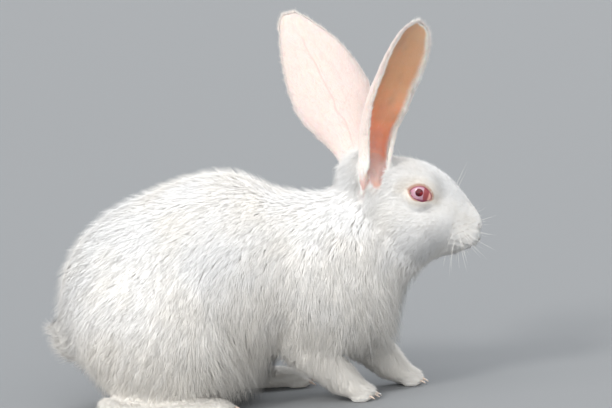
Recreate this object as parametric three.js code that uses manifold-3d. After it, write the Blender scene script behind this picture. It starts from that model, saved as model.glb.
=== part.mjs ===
// A white domestic rabbit at rest, life size: crouched on all four feet, head up, ears raised.
// Millimetres, +Z up, +X towards the nose, +Y to the animal's left. The floor is Z = 0.
// The solids reach out to the tips of the short coat.

import * as THREE from "three";
import { mergeVertices } from "three/addons/utils/BufferGeometryUtils.js";
import Module from "manifold-3d";

const wasm = await Module();
wasm.setup();

// ---------------------------------------------------------------- driving dimensions

const gap = 0.3;             // left between neighbouring pieces
const boxCentreX = 4.0;      // X of the middle of the animal's length, moved onto the origin

// Rounded masses of the trunk and head. Radii run along, across and up, the pitch tips the front end
// up, and each mass melts into those before it over its blend. Masses off the middle have a twin.
const masses = [
  { name: "rump", at: [-65, 0, 86], radii: [91, 57, 80], pitch: 12, blend: 0 },
  { name: "loin", at: [-29, 0, 108], radii: [67, 56, 69], pitch: -2, blend: 16 },
  { name: "shoulders", at: [44, 0, 99], radii: [54, 44, 61], pitch: 23, blend: 16 },
  { name: "breast", at: [79.5, 0, 104], radii: [24, 37, 63], pitch: 5, blend: 14 },
  { name: "skull", at: [110, 0, 139.5], radii: [50, 27.5, 40], pitch: -18, blend: 10 },
  { name: "jaw", at: [103, 0, 117], radii: [27, 27, 36], pitch: -17, blend: 10 },
  { name: "muzzle", at: [134.5, 0, 134.5], radii: [36, 18.5, 19], pitch: -19, blend: 9 },
  { name: "crown", at: [85.5, 0, 169.5], radii: [23, 21, 18], pitch: -10, blend: 8 },
  { name: "rightHaunch", at: [-80, -33, 62], radii: [60, 43, 58], pitch: 0, blend: 9 },
  { name: "leftHaunch", at: [-64, 33, 62], radii: [60, 43, 58], pitch: 0, blend: 9 },
  { name: "upperArm", at: [40, 24, 84], radii: [31, 27, 44], pitch: 20, blend: 12, twin: true },
  { name: "cheek", at: [112, 16, 128], radii: [23, 15, 20], pitch: -20, blend: 9, twin: true },
  { name: "brow", at: [117, 18, 165], radii: [15, 9, 8], pitch: -22, blend: 9, twin: true },
  { name: "orbit", at: [121, 19.5, 154], radii: [13.5, 11.5, 11.5], pitch: -25, blend: 8, twin: true },
  { name: "whiskerPad", at: [153.5, 8, 119], radii: [14, 9.5, 10.5], pitch: -15, blend: 5, twin: true },
  { name: "chin", at: [145.5, 0, 109.5], radii: [12.5, 10, 6], pitch: 6, blend: 4 },
];

const trunkAxis = { from: [-85, 0, 80], to: [84, 0, 116], around: 40, endRings: 9, rings: 18 };
const headAxis = { from: [90, 0, 145], to: [142, 0, 124], around: 36, endRings: 8, rings: 12, reach: 72 };

// Thin cuts across the body, each through two points of the side view (X, Z).
const cuts = {
  hips: { low: [-76, 0], high: [-84, 180] },
  ribs: { low: [8, 0], high: [-8, 180] },
  withers: { low: [104, 56], high: [22, 170] },
  nape: { low: [128, 96], high: [60, 169] },
};

// The hind leg's thigh, cut out of the flank by an oval as seen from the side.
const thigh = { centre: { right: [-83, 66], left: [-67, 66] }, length: 66, height: 61, innerFace: 31 };

// Limbs, from the heel or elbow to the toes. Toes spread over the paw and fan out by an angle, the
// outer ones set back by the stagger. A claw leaves the middle of its toe and curves down.
const hindFoot = {
  lateral: { right: -54, left: 49 },
  toeTip: { right: -23, left: 35 },
  rows: [                                             // distance behind the toe tip, height, radii
    { back: 104, high: 9, wide: 5, deep: 6 },
    { back: 99, high: 10, wide: 10.5, deep: 10 },
    { back: 78, high: 9.5, wide: 12.5, deep: 10.5 },
    { back: 50, high: 8.5, wide: 13, deep: 9.5 },
    { back: 26, high: 7.5, wide: 14.5, deep: 8.5 },
    { back: 11, high: 6, wide: 13, deep: 6.5 },
    { back: 6, high: 5, wide: 10, deep: 4 },
  ],
  toe: { count: 4, length: 11, wide: 4.3, high: 5.4, spread: 21, stagger: 5, fan: 20 },
  claw: { length: 9, radius: 1.8 },
};
const foreLeg = {
  lateral: { right: -25, left: 25 },
  toeTip: { right: 82, left: 120 },
  rows: [
    { back: 66, high: 73, wide: 15, deep: 21 },
    { back: 54, high: 52, wide: 14, deep: 19.5 },
    { back: 40, high: 33, wide: 12.5, deep: 17 },
    { back: 27, high: 18.5, wide: 12, deep: 13.5 },
    { back: 16, high: 10, wide: 12.5, deep: 10 },
    { back: 7, high: 6.5, wide: 11.5, deep: 6.5 },
    { back: 4, high: 5.5, wide: 9, deep: 4 },
  ],
  toe: { count: 4, length: 9, wide: 3.8, high: 5, spread: 17, stagger: 4, fan: 20 },
  claw: { length: 7, radius: 1.5 },
};

const tail = {               // folded up against the rump
  rows: [
    { at: [-132, 0, 42], wide: 12, deep: 8 },
    { at: [-146, 0, 49.5], wide: 16, deep: 11 },
    { at: [-152, 0, 62], wide: 17, deep: 9.5 },
    { at: [-151.5, 0, 74], wide: 12.5, deep: 6.5 },
    { at: [-149, 0, 81], wide: 6, deep: 3 },
  ],
};

// Ears as thin curled blades. Each row: place of the middle, half the width between the rims, depth
// of the cup. "open" is where the cup faces at the root and at the tip, in degrees about Z from +X.
const ears = {
  right: {
    open: [-75, -34],
    rows: [
      { at: [85, -13, 158], half: 7, cup: 18 },
      { at: [89, -17, 180], half: 8, cup: 18.5 },
      { at: [92, -20, 205], half: 13.5, cup: 17.5 },
      { at: [101, -21, 230], half: 22, cup: 15.5 },
      { at: [110.5, -21, 249], half: 26, cup: 13 },
      { at: [120.5, -20, 267], half: 22, cup: 10 },
      { at: [128.5, -19, 277.5], half: 13.5, cup: 5.5 },
      { at: [130.5, -18, 281.5], half: 4.5, cup: 2.2 },
    ],
  },
  left: {
    open: [75, 92],
    rows: [
      { at: [81, 13, 160], half: 8, cup: 22 },
      { at: [80.5, 17, 177.5], half: 12.5, cup: 23 },
      { at: [73.5, 20, 198], half: 20.5, cup: 18 },
      { at: [63, 22, 223], half: 29.5, cup: 14 },
      { at: [50, 24, 253], half: 25.5, cup: 11 },
      { at: [39.5, 25, 274], half: 16.5, cup: 8 },
      { at: [33.5, 25, 287.5], half: 9, cup: 4.5 },
      { at: [32.5, 25, 292.5], half: 5, cup: 2 },
    ],
  },
  wallAtRoot: 3.4,
  wallAtTip: 2.4,
  outerArc: 0.985,           // of the inner face's arc, which rounds the rim
  across: 8,                 // steps over the blade
  along: 18,                 // steps from root to tip
};

const eye = { at: [122, 20, 154.5], radius: 9.4, facing: [0.2, 0.96, 0.15] };
const lids = { halfLength: 9.3, halfHeight: 6.6, tilt: -28, thickness: 1.9, lift: 1.3, opening: 1.1 };
const nostril = { at: [166, 5, 122], radii: [4.5, 1.1, 2.8], slant: 32, turn: 14 };
const mouth = { groove: 1.1, cleft: 0.9, corner: [145, 115.5], middle: [156, 110.5], lipZ: 110.5, noseZ: 121 };

const colours = { coat: 0xf2eee7, ear: 0xe9cfc3, eye: 0xa3243a };

// ---------------------------------------------------------------- solids

const vector = (p) => new THREE.Vector3(...p);

function toSolid(geometry) {
  const bare = geometry.clone();
  bare.deleteAttribute("normal");
  bare.deleteAttribute("uv");
  const merged = mergeVertices(bare, 1e-3);
  const corners = merged.index.array;
  const kept = [];
  for (let i = 0; i < corners.length; i += 3) {
    const [a, b, c] = corners.slice(i, i + 3);
    if (a !== b && b !== c && c !== a) kept.push(a, b, c);   // a pole's flat triangles go
  }
  return new wasm.Manifold(new wasm.Mesh({
    numProp: 3,
    vertProperties: new Float32Array(merged.attributes.position.array),
    triVerts: new Uint32Array(kept),
  }));
}

function largestPiece(solid) {
  const pieces = solid.decompose();
  return pieces.reduce((best, piece) => (piece.volume() > best.volume() ? piece : best));
}

function toGeometry(solid) {
  const { vertProperties, triVerts } = solid.getMesh();
  const geometry = new THREE.BufferGeometry();
  geometry.setAttribute("position", new THREE.BufferAttribute(new Float32Array(vertProperties), 3));
  geometry.setIndex([...triVerts]);
  geometry.computeVertexNormals();
  return geometry;
}

// Closes rows of points, each row a ring, into one body. The ends are closed straight across.
function skinRings(rings, endless = false) {
  const around = rings[0].length;
  const index = [];
  const quad = (a, b, c, d) => index.push(a, b, c, a, c, d);
  const lastRow = endless ? rings.length : rings.length - 1;
  for (let i = 0; i < lastRow; i++) {
    const row = i * around;
    const next = ((i + 1) % rings.length) * around;
    for (let j = 0; j < around; j++) {
      const k = (j + 1) % around;
      quad(row + j, row + k, next + k, next + j);
    }
  }
  if (!endless) {
    const end = (rings.length - 1) * around;
    for (let j = 0; j < around / 2 - 1; j++) {
      const far = around - 1 - j;
      quad(j, far, far - 1, j + 1);
      quad(end + j, end + j + 1, end + far - 1, end + far);
    }
  }
  const geometry = new THREE.BufferGeometry();
  const positions = rings.flat().flatMap((p) => [p.x, p.y, p.z]);
  geometry.setAttribute("position", new THREE.Float32BufferAttribute(positions, 3));
  geometry.setIndex(index);
  if (signedVolume(geometry) < 0) geometry.setIndex(index.reverse());
  return geometry;
}

function signedVolume(geometry) {
  const place = geometry.attributes.position;
  const [a, b, c] = [new THREE.Vector3(), new THREE.Vector3(), new THREE.Vector3()];
  let volume = 0;
  for (let i = 0; i < geometry.index.count; i += 3) {
    a.fromBufferAttribute(place, geometry.index.getX(i));
    b.fromBufferAttribute(place, geometry.index.getX(i + 1));
    c.fromBufferAttribute(place, geometry.index.getX(i + 2));
    volume += a.dot(b.cross(c)) / 6;
  }
  return volume;
}

// A round bar along a curve, for lids and grooves.
function roundBar(points, radius, { endless = false, steps = 16, sides = 6 } = {}) {
  const curve = new THREE.CatmullRomCurve3(points, endless);
  const frames = curve.computeFrenetFrames(steps, endless);
  const rows = endless ? steps : steps + 1;
  const rings = [];
  for (let i = 0; i < rows; i++) {
    const middle = curve.getPointAt(i / steps);
    const ring = [];
    for (let j = 0; j < sides; j++) {
      const turn = (j / sides) * 2 * Math.PI;
      ring.push(middle.clone()
        .addScaledVector(frames.normals[i], radius * Math.cos(turn))
        .addScaledVector(frames.binormals[i], radius * Math.sin(turn)));
    }
    rings.push(ring);
  }
  return toSolid(skinRings(rings, endless));
}

// Smooth values between the rows of a table, at t from 0 to 1.
function between(values, t) {
  const curve = new THREE.SplineCurve(values.map((value, i) => new THREE.Vector2(i, value)));
  return curve.getPoint(t).y;
}

// ---------------------------------------------------------------- the body's surface

const allMasses = masses.flatMap((mass) => {
  const [x, y, z] = mass.at;
  return mass.twin ? [{ ...mass, at: [x, -y, z] }, mass] : [mass];
});

// About how far a point is outside one mass, less than 0 inside.
function outside(point, { at, radii, pitch }) {
  const tip = THREE.MathUtils.degToRad(pitch);
  const [dx, dy, dz] = [point.x - at[0], point.y - at[1], point.z - at[2]];
  const along = (dx * Math.cos(tip) + dz * Math.sin(tip)) / radii[0];
  const across = dy / radii[1];
  const up = (dz * Math.cos(tip) - dx * Math.sin(tip)) / radii[2];
  const scaled = Math.hypot(along, across, up);
  const slope = Math.hypot(along / radii[0], across / radii[1], up / radii[2]);
  return scaled * (scaled - 1) / Math.max(slope, 1e-9);
}

function outsideBody(point) {
  return allMasses.reduce((distance, mass) => {
    const next = outside(point, mass);
    if (distance === null) return next;
    const overlap = Math.max(mass.blend - Math.abs(distance - next), 0);
    return Math.min(distance, next) - overlap ** 2 / (4 * mass.blend);
  }, null);
}

// Walks outwards from inside the body to the place where the surface, moved out by grow, is passed.
function surfaceFrom(start, direction, grow = 0, reach = 260) {
  const stride = 4;
  const halvings = 16;
  const at = (distance) => start.clone().addScaledVector(direction, distance);
  let near = 0;
  let far = stride;
  while (far < reach && outsideBody(at(far)) < grow) {
    near = far;
    far += stride;
  }
  for (let i = 0; i < halvings; i++) {
    const middle = (near + far) / 2;
    if (outsideBody(at(middle)) < grow) near = middle;
    else far = middle;
  }
  return at(near);
}

// A capsule round an axis, with every corner moved straight out to the surface.
function wrapBody({ from, to, around, endRings, rings, reach }, grow = 0) {
  const start = vector(from);
  const end = vector(to);
  const direction = end.clone().sub(start).normalize();
  const length = start.distanceTo(end);
  const capsule = new THREE.CapsuleGeometry(1, length, endRings, around, rings);
  const turn = new THREE.Quaternion().setFromUnitVectors(new THREE.Vector3(0, 1, 0), direction);
  const place = capsule.attributes.position;
  const corner = new THREE.Vector3();
  for (let i = 0; i < place.count; i++) {
    corner.fromBufferAttribute(place, i);
    const onAxis = THREE.MathUtils.clamp(corner.y, -length / 2, length / 2);
    const outwards = new THREE.Vector3(corner.x, corner.y - onAxis, corner.z).normalize();
    outwards.applyQuaternion(turn);
    const base = start.clone().addScaledVector(direction, onAxis + length / 2);
    const found = surfaceFrom(base, outwards, grow, reach);
    place.setXYZ(i, found.x, found.y, found.z);
  }
  return toSolid(capsule);
}

// Keeps what lies in front of a cut, or behind it, less half the gap.
function keepSide(solid, { low, high }, inFront) {
  const run = new THREE.Vector2(high[0] - low[0], high[1] - low[1]).normalize();
  const normal = [run.y, 0, -run.x];                  // towards the nose
  const offset = low[0] * normal[0] + low[1] * normal[2];
  return inFront
    ? solid.trimByPlane(normal, offset + gap / 2)
    : solid.trimByPlane(normal.map((n) => -n), -offset + gap / 2);
}

// ---------------------------------------------------------------- legs, feet and tail

const sideSign = { right: -1, left: 1 };

// A round limb through rows of middles, flattened where it rests on the floor.
function limb(rows, grow, steps, sides = 11) {
  const path = new THREE.CatmullRomCurve3(rows.map((row) => vector(row.at)));
  const rings = [];
  for (let i = 0; i <= steps; i++) {
    const t = i / steps;
    const forwards = path.getTangent(t);
    const past = i === 0 ? -grow : i === steps ? grow : 0;     // the ends grow too
    const middle = path.getPoint(t).addScaledVector(forwards, past);
    const across = new THREE.Vector3(0, 1, 0);
    const up = new THREE.Vector3().crossVectors(forwards, across).normalize();
    const wide = between(rows.map((row) => row.wide), t) + grow;
    const deep = between(rows.map((row) => row.deep), t) + grow;
    const ring = [];
    for (let j = 0; j < sides; j++) {
      const turn = (j / sides) * 2 * Math.PI;
      const corner = middle.clone()
        .addScaledVector(across, wide * Math.cos(turn))
        .addScaledVector(up, deep * Math.sin(turn));
      corner.z = Math.max(corner.z, 0);
      ring.push(corner);
    }
    rings.push(ring);
  }
  return toSolid(skinRings(rings));
}

// One toe, an oval ball flattened on the floor, with its tip at x and y and turned about Z.
function toeSolid({ toe }, x, y, turn, grow) {
  const sunk = 0.85;                                  // of its half height, so that it rests flat
  const ball = new THREE.SphereGeometry(1, 8, 5);
  ball.rotateX(Math.PI / 2);
  ball.scale(toe.length + grow, toe.wide + grow, toe.high + grow);
  ball.rotateZ(turn);
  ball.translate(x - toe.length * Math.cos(turn), y, toe.high * sunk);
  const place = ball.attributes.position;
  for (let i = 0; i < place.count; i++) place.setZ(i, Math.max(place.getZ(i), 0));
  return toSolid(ball);
}

// A claw of diamond section that starts inside the toe, tapers and curves down.
function clawSolid({ toe, claw }, x, y, turn, grow) {
  const drop = 0.4 * claw.length;
  const taper = 0.8;
  const sides = 4;
  const root = new THREE.Vector3(x - claw.length / 2, y, toe.high * 0.95);
  const forwards = new THREE.Vector3(Math.cos(turn), Math.sin(turn), 0);
  const across = new THREE.Vector3(-Math.sin(turn), Math.cos(turn), 0);
  const rings = [0, 0.5, 1].map((t) => {
    const radius = claw.radius * (1 - taper * t ** 1.6) + grow;
    const middle = root.clone().addScaledVector(forwards, claw.length * t);
    middle.z -= drop * t * t;
    return Array.from({ length: sides }, (_, j) => {
      const around = (j / sides) * 2 * Math.PI;
      const corner = middle.clone().addScaledVector(across, radius * Math.cos(around));
      corner.z += radius * Math.sin(around);
      return corner;
    });
  });
  return toSolid(skinRings(rings));
}

function paw(shape, side, grow = 0) {
  const tip = shape.toeTip[side];
  const middle = shape.lateral[side];
  const rows = shape.rows.map(({ back, high, wide, deep }) => (
    { at: [tip - back, middle, high], wide, deep }));
  let solid = limb(rows, grow, 2 * rows.length);
  const { count, spread, stagger, fan } = shape.toe;
  const longest = -0.12 * sideSign[side];             // the longest toe is inside the middle
  for (let i = 0; i < count; i++) {
    const place = i / (count - 1) - 0.5;              // -0.5 to 0.5 over the paw
    const back = stagger * (2 * Math.abs(place - longest)) ** 1.5;
    const turn = THREE.MathUtils.degToRad(place * fan);
    for (const piece of [toeSolid, clawSolid]) {
      solid = solid.add(piece(shape, tip - back, middle + place * spread, turn, grow));
    }
  }
  return solid;
}

function thighCutter(side, grow = 0) {
  const outer = 110;                                  // clear of the flank
  const [x, z] = thigh.centre[side];
  const inner = thigh.innerFace - grow;
  const cylinder = new THREE.CylinderGeometry(1, 1, outer - inner, 40);
  cylinder.scale(thigh.length + grow, 1, thigh.height + grow);
  cylinder.translate(x, sideSign[side] * (outer + inner) / 2, z);
  return toSolid(cylinder);
}

function tailSolid(grow = 0) {
  return limb(tail.rows, grow, 3 * (tail.rows.length - 1));
}

// ---------------------------------------------------------------- ears

function earSolid(side) {
  const { rows, open } = ears[side];
  const path = new THREE.CatmullRomCurve3(rows.map((row) => vector(row.at)));
  const rings = [];
  for (let i = 0; i <= ears.along; i++) {
    const t = i / ears.along;
    const half = between(rows.map((row) => row.half), t);
    const cup = between(rows.map((row) => row.cup), t);
    const wall = THREE.MathUtils.lerp(ears.wallAtRoot, ears.wallAtTip, t);
    const facing = THREE.MathUtils.degToRad(THREE.MathUtils.lerp(open[0], open[1], Math.min(1, 2 * t)));
    const upwards = path.getTangent(t);
    const front = new THREE.Vector3(Math.cos(facing), Math.sin(facing), 0);
    front.addScaledVector(upwards, -front.dot(upwards)).normalize();
    const rim = new THREE.Vector3().crossVectors(upwards, front);
    const radius = (half ** 2 + cup ** 2) / (2 * cup);
    const bend = 2 * Math.atan(cup / half);           // the cup's arc, from its back to a rim
    const arc = (distance, share) => Array.from({ length: ears.across + 1 }, (_, j) => {
      const turn = bend * (2 * j / ears.across - 1) * share;
      return path.getPoint(t)
        .addScaledVector(rim, distance * Math.sin(turn))
        .addScaledVector(front, radius - cup / 2 - distance * Math.cos(turn));
    });
    rings.push([...arc(radius + wall / 2, ears.outerArc), ...arc(radius - wall / 2, 1).reverse()]);
  }
  return toSolid(skinRings(rings));
}

// ---------------------------------------------------------------- face

function onHead(x, z, side) {
  return surfaceFrom(new THREE.Vector3(x, 0, z), new THREE.Vector3(0, side, 0));
}

function eyeFrame(side) {
  const sign = sideSign[side];
  const facing = new THREE.Vector3(eye.facing[0], sign * eye.facing[1], eye.facing[2]).normalize();
  const tilt = THREE.MathUtils.degToRad(lids.tilt);
  const corner = new THREE.Vector3(Math.cos(tilt), 0, Math.sin(tilt));
  corner.addScaledVector(facing, -corner.dot(facing)).normalize();
  const up = new THREE.Vector3().crossVectors(corner, facing).multiplyScalar(-sign);
  return { centre: new THREE.Vector3(eye.at[0], sign * eye.at[1], eye.at[2]), facing, corner, up };
}

function eyeball(side, grow = 0) {
  const ball = new THREE.SphereGeometry(eye.radius + grow, 16, 10);
  ball.rotateX(Math.PI / 2 * -sideSign[side]);
  const { centre } = eyeFrame(side);
  ball.translate(centre.x, centre.y, centre.z);
  return toSolid(ball);
}

// Points round the almond between the lids, a little inside it by inset, at a distance in front.
function almond(side, inset, inFront) {
  const { centre, facing, corner, up } = eyeFrame(side);
  const steps = 14;
  return Array.from({ length: steps }, (_, i) => {
    const turn = (i / steps) * 2 * Math.PI;
    const x = (lids.halfLength - inset) * Math.cos(turn);
    const narrowing = 1 - 0.18 * Math.cos(turn) ** 2;           // towards the corners
    const y = (lids.halfHeight - inset) * Math.sin(turn) * narrowing;
    return centre.clone()
      .addScaledVector(corner, x).addScaledVector(up, y).addScaledVector(facing, inFront(x, y));
  });
}

// The lids' rim, an almond round bar that lies on the eyeball.
function lidRim(side) {
  const distance = eye.radius + lids.lift;
  const points = almond(side, 0, (x, y) => Math.sqrt(Math.max(distance ** 2 - x * x - y * y, 4)));
  return roundBar(points, lids.thickness, { endless: true, steps: 20, sides: 5 });
}

function lidOpening(side) {
  const rings = [0, 2 * eye.radius].map((depth) => almond(side, lids.opening, () => depth));
  return toSolid(skinRings(rings));
}

function nostrilCutter(side) {
  const slit = new THREE.SphereGeometry(1, 10, 6);
  slit.scale(...nostril.radii);
  slit.rotateX(THREE.MathUtils.degToRad(nostril.slant) * sideSign[side]);
  slit.rotateZ(THREE.MathUtils.degToRad(nostril.turn) * sideSign[side]);
  slit.translate(nostril.at[0], nostril.at[1] * sideSign[side], nostril.at[2]);
  return toSolid(slit);
}

function mouthCutters() {
  const onFront = (z) => surfaceFrom(
    new THREE.Vector3(mouth.corner[0], 0, z), new THREE.Vector3(1, 0, 0));
  const line = [
    onHead(...mouth.corner, -1), onHead(...mouth.middle, -1), onFront(mouth.lipZ),
    onHead(...mouth.middle, 1), onHead(...mouth.corner, 1),
  ];
  const cleft = [mouth.lipZ, (mouth.lipZ + mouth.noseZ) / 2, mouth.noseZ].map(onFront);
  return [
    roundBar(line, mouth.groove, { steps: 18, sides: 5 }),
    roundBar(cleft, mouth.cleft, { steps: 5, sides: 5 }),
  ];
}

// ---------------------------------------------------------------- the rabbit

const rabbit = new THREE.Group();
rabbit.position.x = -boxCentreX;

const coatFinish = { color: colours.coat, roughness: 0.95, metalness: 0 };

function addPiece(name, solid, finish = coatFinish) {
  const mesh = new THREE.Mesh(toGeometry(largestPiece(solid)), new THREE.MeshStandardMaterial(finish));
  mesh.name = name;
  rabbit.add(mesh);
}

const sides = ["right", "left"];
const body = wrapBody(trunkAxis);
const grownBody = wrapBody(trunkAxis, gap);

let torso = body;
for (const side of sides) torso = torso.subtract(thighCutter(side, gap));
for (const side of sides) torso = torso.subtract(paw(hindFoot, side, gap));
torso = torso.subtract(tailSolid(gap));

addPiece("rump", keepSide(torso, cuts.hips, false));
addPiece("loin", keepSide(keepSide(torso, cuts.hips, true), cuts.ribs, false));
addPiece("chest", keepSide(keepSide(torso, cuts.ribs, true), cuts.withers, false));
addPiece("neck", keepSide(keepSide(torso, cuts.withers, true), cuts.nape, false));
addPiece("tail", tailSolid());

let head = keepSide(wrapBody(headAxis), cuts.nape, true);
for (const side of sides) head = head.add(lidRim(side));
for (const side of sides) {
  head = head.subtract(eyeball(side, gap)).subtract(lidOpening(side)).subtract(nostrilCutter(side));
}
for (const groove of mouthCutters()) head = head.subtract(groove);
addPiece("head", head);

const grownHead = wrapBody(headAxis, gap);
for (const side of sides) {
  addPiece(`ear_${side}`, earSolid(side).subtract(grownHead).subtract(grownBody),
    { color: colours.ear, roughness: 0.8, metalness: 0 });
  addPiece(`eye_${side}`, eyeball(side), { color: colours.eye, roughness: 0.1, metalness: 0 });
  addPiece(`thigh_${side}`, body.intersect(thighCutter(side)).subtract(paw(hindFoot, side, gap)));
  addPiece(`hind_foot_${side}`, paw(hindFoot, side));
  addPiece(`foreleg_${side}`, paw(foreLeg, side).subtract(grownBody));
}

export default rabbit;
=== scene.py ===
import math
import time

import bmesh
import bpy
import numpy as np
from mathutils import Matrix, Vector
from mathutils.bvhtree import BVHTree


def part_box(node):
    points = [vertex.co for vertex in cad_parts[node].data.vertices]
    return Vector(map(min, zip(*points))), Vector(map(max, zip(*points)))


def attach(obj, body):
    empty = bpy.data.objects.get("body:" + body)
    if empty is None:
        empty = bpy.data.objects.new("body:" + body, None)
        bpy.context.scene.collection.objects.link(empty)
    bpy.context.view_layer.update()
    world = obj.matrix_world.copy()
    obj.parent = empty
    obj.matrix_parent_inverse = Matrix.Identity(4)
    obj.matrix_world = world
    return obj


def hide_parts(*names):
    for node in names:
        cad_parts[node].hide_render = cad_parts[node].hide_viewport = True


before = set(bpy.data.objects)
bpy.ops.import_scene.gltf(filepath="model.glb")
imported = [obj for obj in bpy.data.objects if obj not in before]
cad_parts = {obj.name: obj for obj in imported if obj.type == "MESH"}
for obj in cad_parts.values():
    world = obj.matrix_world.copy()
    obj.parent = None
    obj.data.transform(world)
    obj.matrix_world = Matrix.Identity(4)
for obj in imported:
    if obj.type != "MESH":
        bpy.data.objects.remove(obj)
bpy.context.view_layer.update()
started = time.time()
mm = 0.001
sideSign = {"Right": -1, "Left": 1}


def report(words):
    print(f"[{time.time() - started:5.1f} s] {words}")


# A node with its settings and its inputs, each a value or another node's output
def wire(tree, kind, values=None, **settings):
    node = tree.nodes.new(kind)
    for name, value in settings.items():
        setattr(node, name, value)
    for key, value in (values or {}).items():
        if isinstance(value, bpy.types.NodeSocket):
            tree.links.new(value, node.inputs[key])
        else:
            node.inputs[key].default_value = value
    return node


cameraView = {
    "target": (32.4 * mm, 0, 148.6 * mm),
    "distance": 2.0,
    "elevation": 7,           # degrees above the horizon
    "roll": 3.5,
    "pixel": 0.76 * mm,       # what one pixel covers at the target
    "sensor": 36,
}
frameWidth = 612
floorLook = {"size": 40, "colour": (0.23, 0.24, 0.25, 1), "roughness": 0.85}
studioLights = {                  # where each shines from, how many degrees wide, and how strong
    "keyLight": {"from": (-1.1, -1.3, 1.25), "spread": 14, "strength": 1.4, "colour": (1, 0.97, 0.925)},
    "softLight": {"from": (-0.9, -1.4, 1.2), "spread": 90, "strength": 1.7, "colour": (1, 0.975, 0.94)},
    "fillLight": {"from": (0.9, -1.7, 0.2), "spread": 90, "strength": 1.2, "colour": (1, 0.985, 0.95)},
    "rimLight": {"from": (0.9, 1.4, 1.5), "spread": 30, "strength": 1.15, "colour": (0.97, 0.985, 1)},
}
studioAir = {"colour": (0.93, 0.96, 1, 1), "strength": 0.68}
viewLook = {"transform": "Standard", "exposure": 0.0}


def makeCamera():
    view = cameraView
    up = math.radians(view["elevation"])
    roll = math.radians(view["roll"])
    forward = Vector((0, math.cos(up), -math.sin(up)))
    level = Vector((1, 0, 0))
    upright = Vector((0, math.sin(up), math.cos(up)))
    right = level * math.cos(roll) - upright * math.sin(roll)
    top = level * math.sin(roll) + upright * math.cos(roll)
    data = bpy.data.cameras.new("camera")
    data.sensor_width = view["sensor"]
    data.lens = view["sensor"] * view["distance"] / (frameWidth * view["pixel"])
    camera = bpy.data.objects.new("camera", data)
    place = Vector(view["target"]) - forward * view["distance"]
    camera.matrix_world = Matrix((
        (right.x, top.x, -forward.x, place.x),
        (right.y, top.y, -forward.y, place.y),
        (right.z, top.z, -forward.z, place.z),
        (0, 0, 0, 1),
    ))
    bpy.context.scene.collection.objects.link(camera)
    bpy.context.scene.camera = camera


def makeFloor():
    half = floorLook["size"] / 2
    mesh = bpy.data.meshes.new("studioFloor")
    corners = [(-half, -half, 0), (half, -half, 0), (half, half, 0), (-half, half, 0)]
    mesh.from_pydata(corners, [], [(0, 1, 2, 3)])
    material = bpy.data.materials.new("paleFloor")
    material.use_nodes = True
    shader = material.node_tree.nodes["Principled BSDF"]
    shader.inputs["Base Color"].default_value = floorLook["colour"]
    shader.inputs["Roughness"].default_value = floorLook["roughness"]
    mesh.materials.append(material)
    floor = bpy.data.objects.new("studioFloor", mesh)
    bpy.context.scene.collection.objects.link(floor)


def makeLights():
    for name, lamp in studioLights.items():
        data = bpy.data.lights.new(name, "SUN")
        data.angle = math.radians(lamp["spread"])
        data.energy = lamp["strength"]
        data.color = lamp["colour"]
        light = bpy.data.objects.new(name, data)
        light.location = lamp["from"]
        light.rotation_mode = "QUATERNION"
        light.rotation_quaternion = Vector(lamp["from"]).to_track_quat("Z", "Y")
        bpy.context.scene.collection.objects.link(light)
    world = bpy.data.worlds.new("studioAir")
    world.use_nodes = True
    background = world.node_tree.nodes["Background"]
    background.inputs["Color"].default_value = studioAir["colour"]
    background.inputs["Strength"].default_value = studioAir["strength"]
    bpy.context.scene.world = world
    bpy.context.scene.view_settings.view_transform = viewLook["transform"]
    bpy.context.scene.view_settings.exposure = viewLook["exposure"]


makeCamera()
makeFloor()
makeLights()
report("camera, floor and lights are in place")

skinShape = {
    "grow": 0.3 * mm,          # closes the gaps between the flesh nodes
    "voxel": 1.1 * mm,
    "triangles": 176000,
    "sinkSteps": 5,
    # rounds of smoothing
    "rounds": {"trunk": 60, "socket": 30, "earSeam": 24, "tailSeam": 80, "pocket": 60, "eyeRing": 40},
}
fleshNodes = sorted(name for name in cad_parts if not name.startswith("eye_"))

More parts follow.
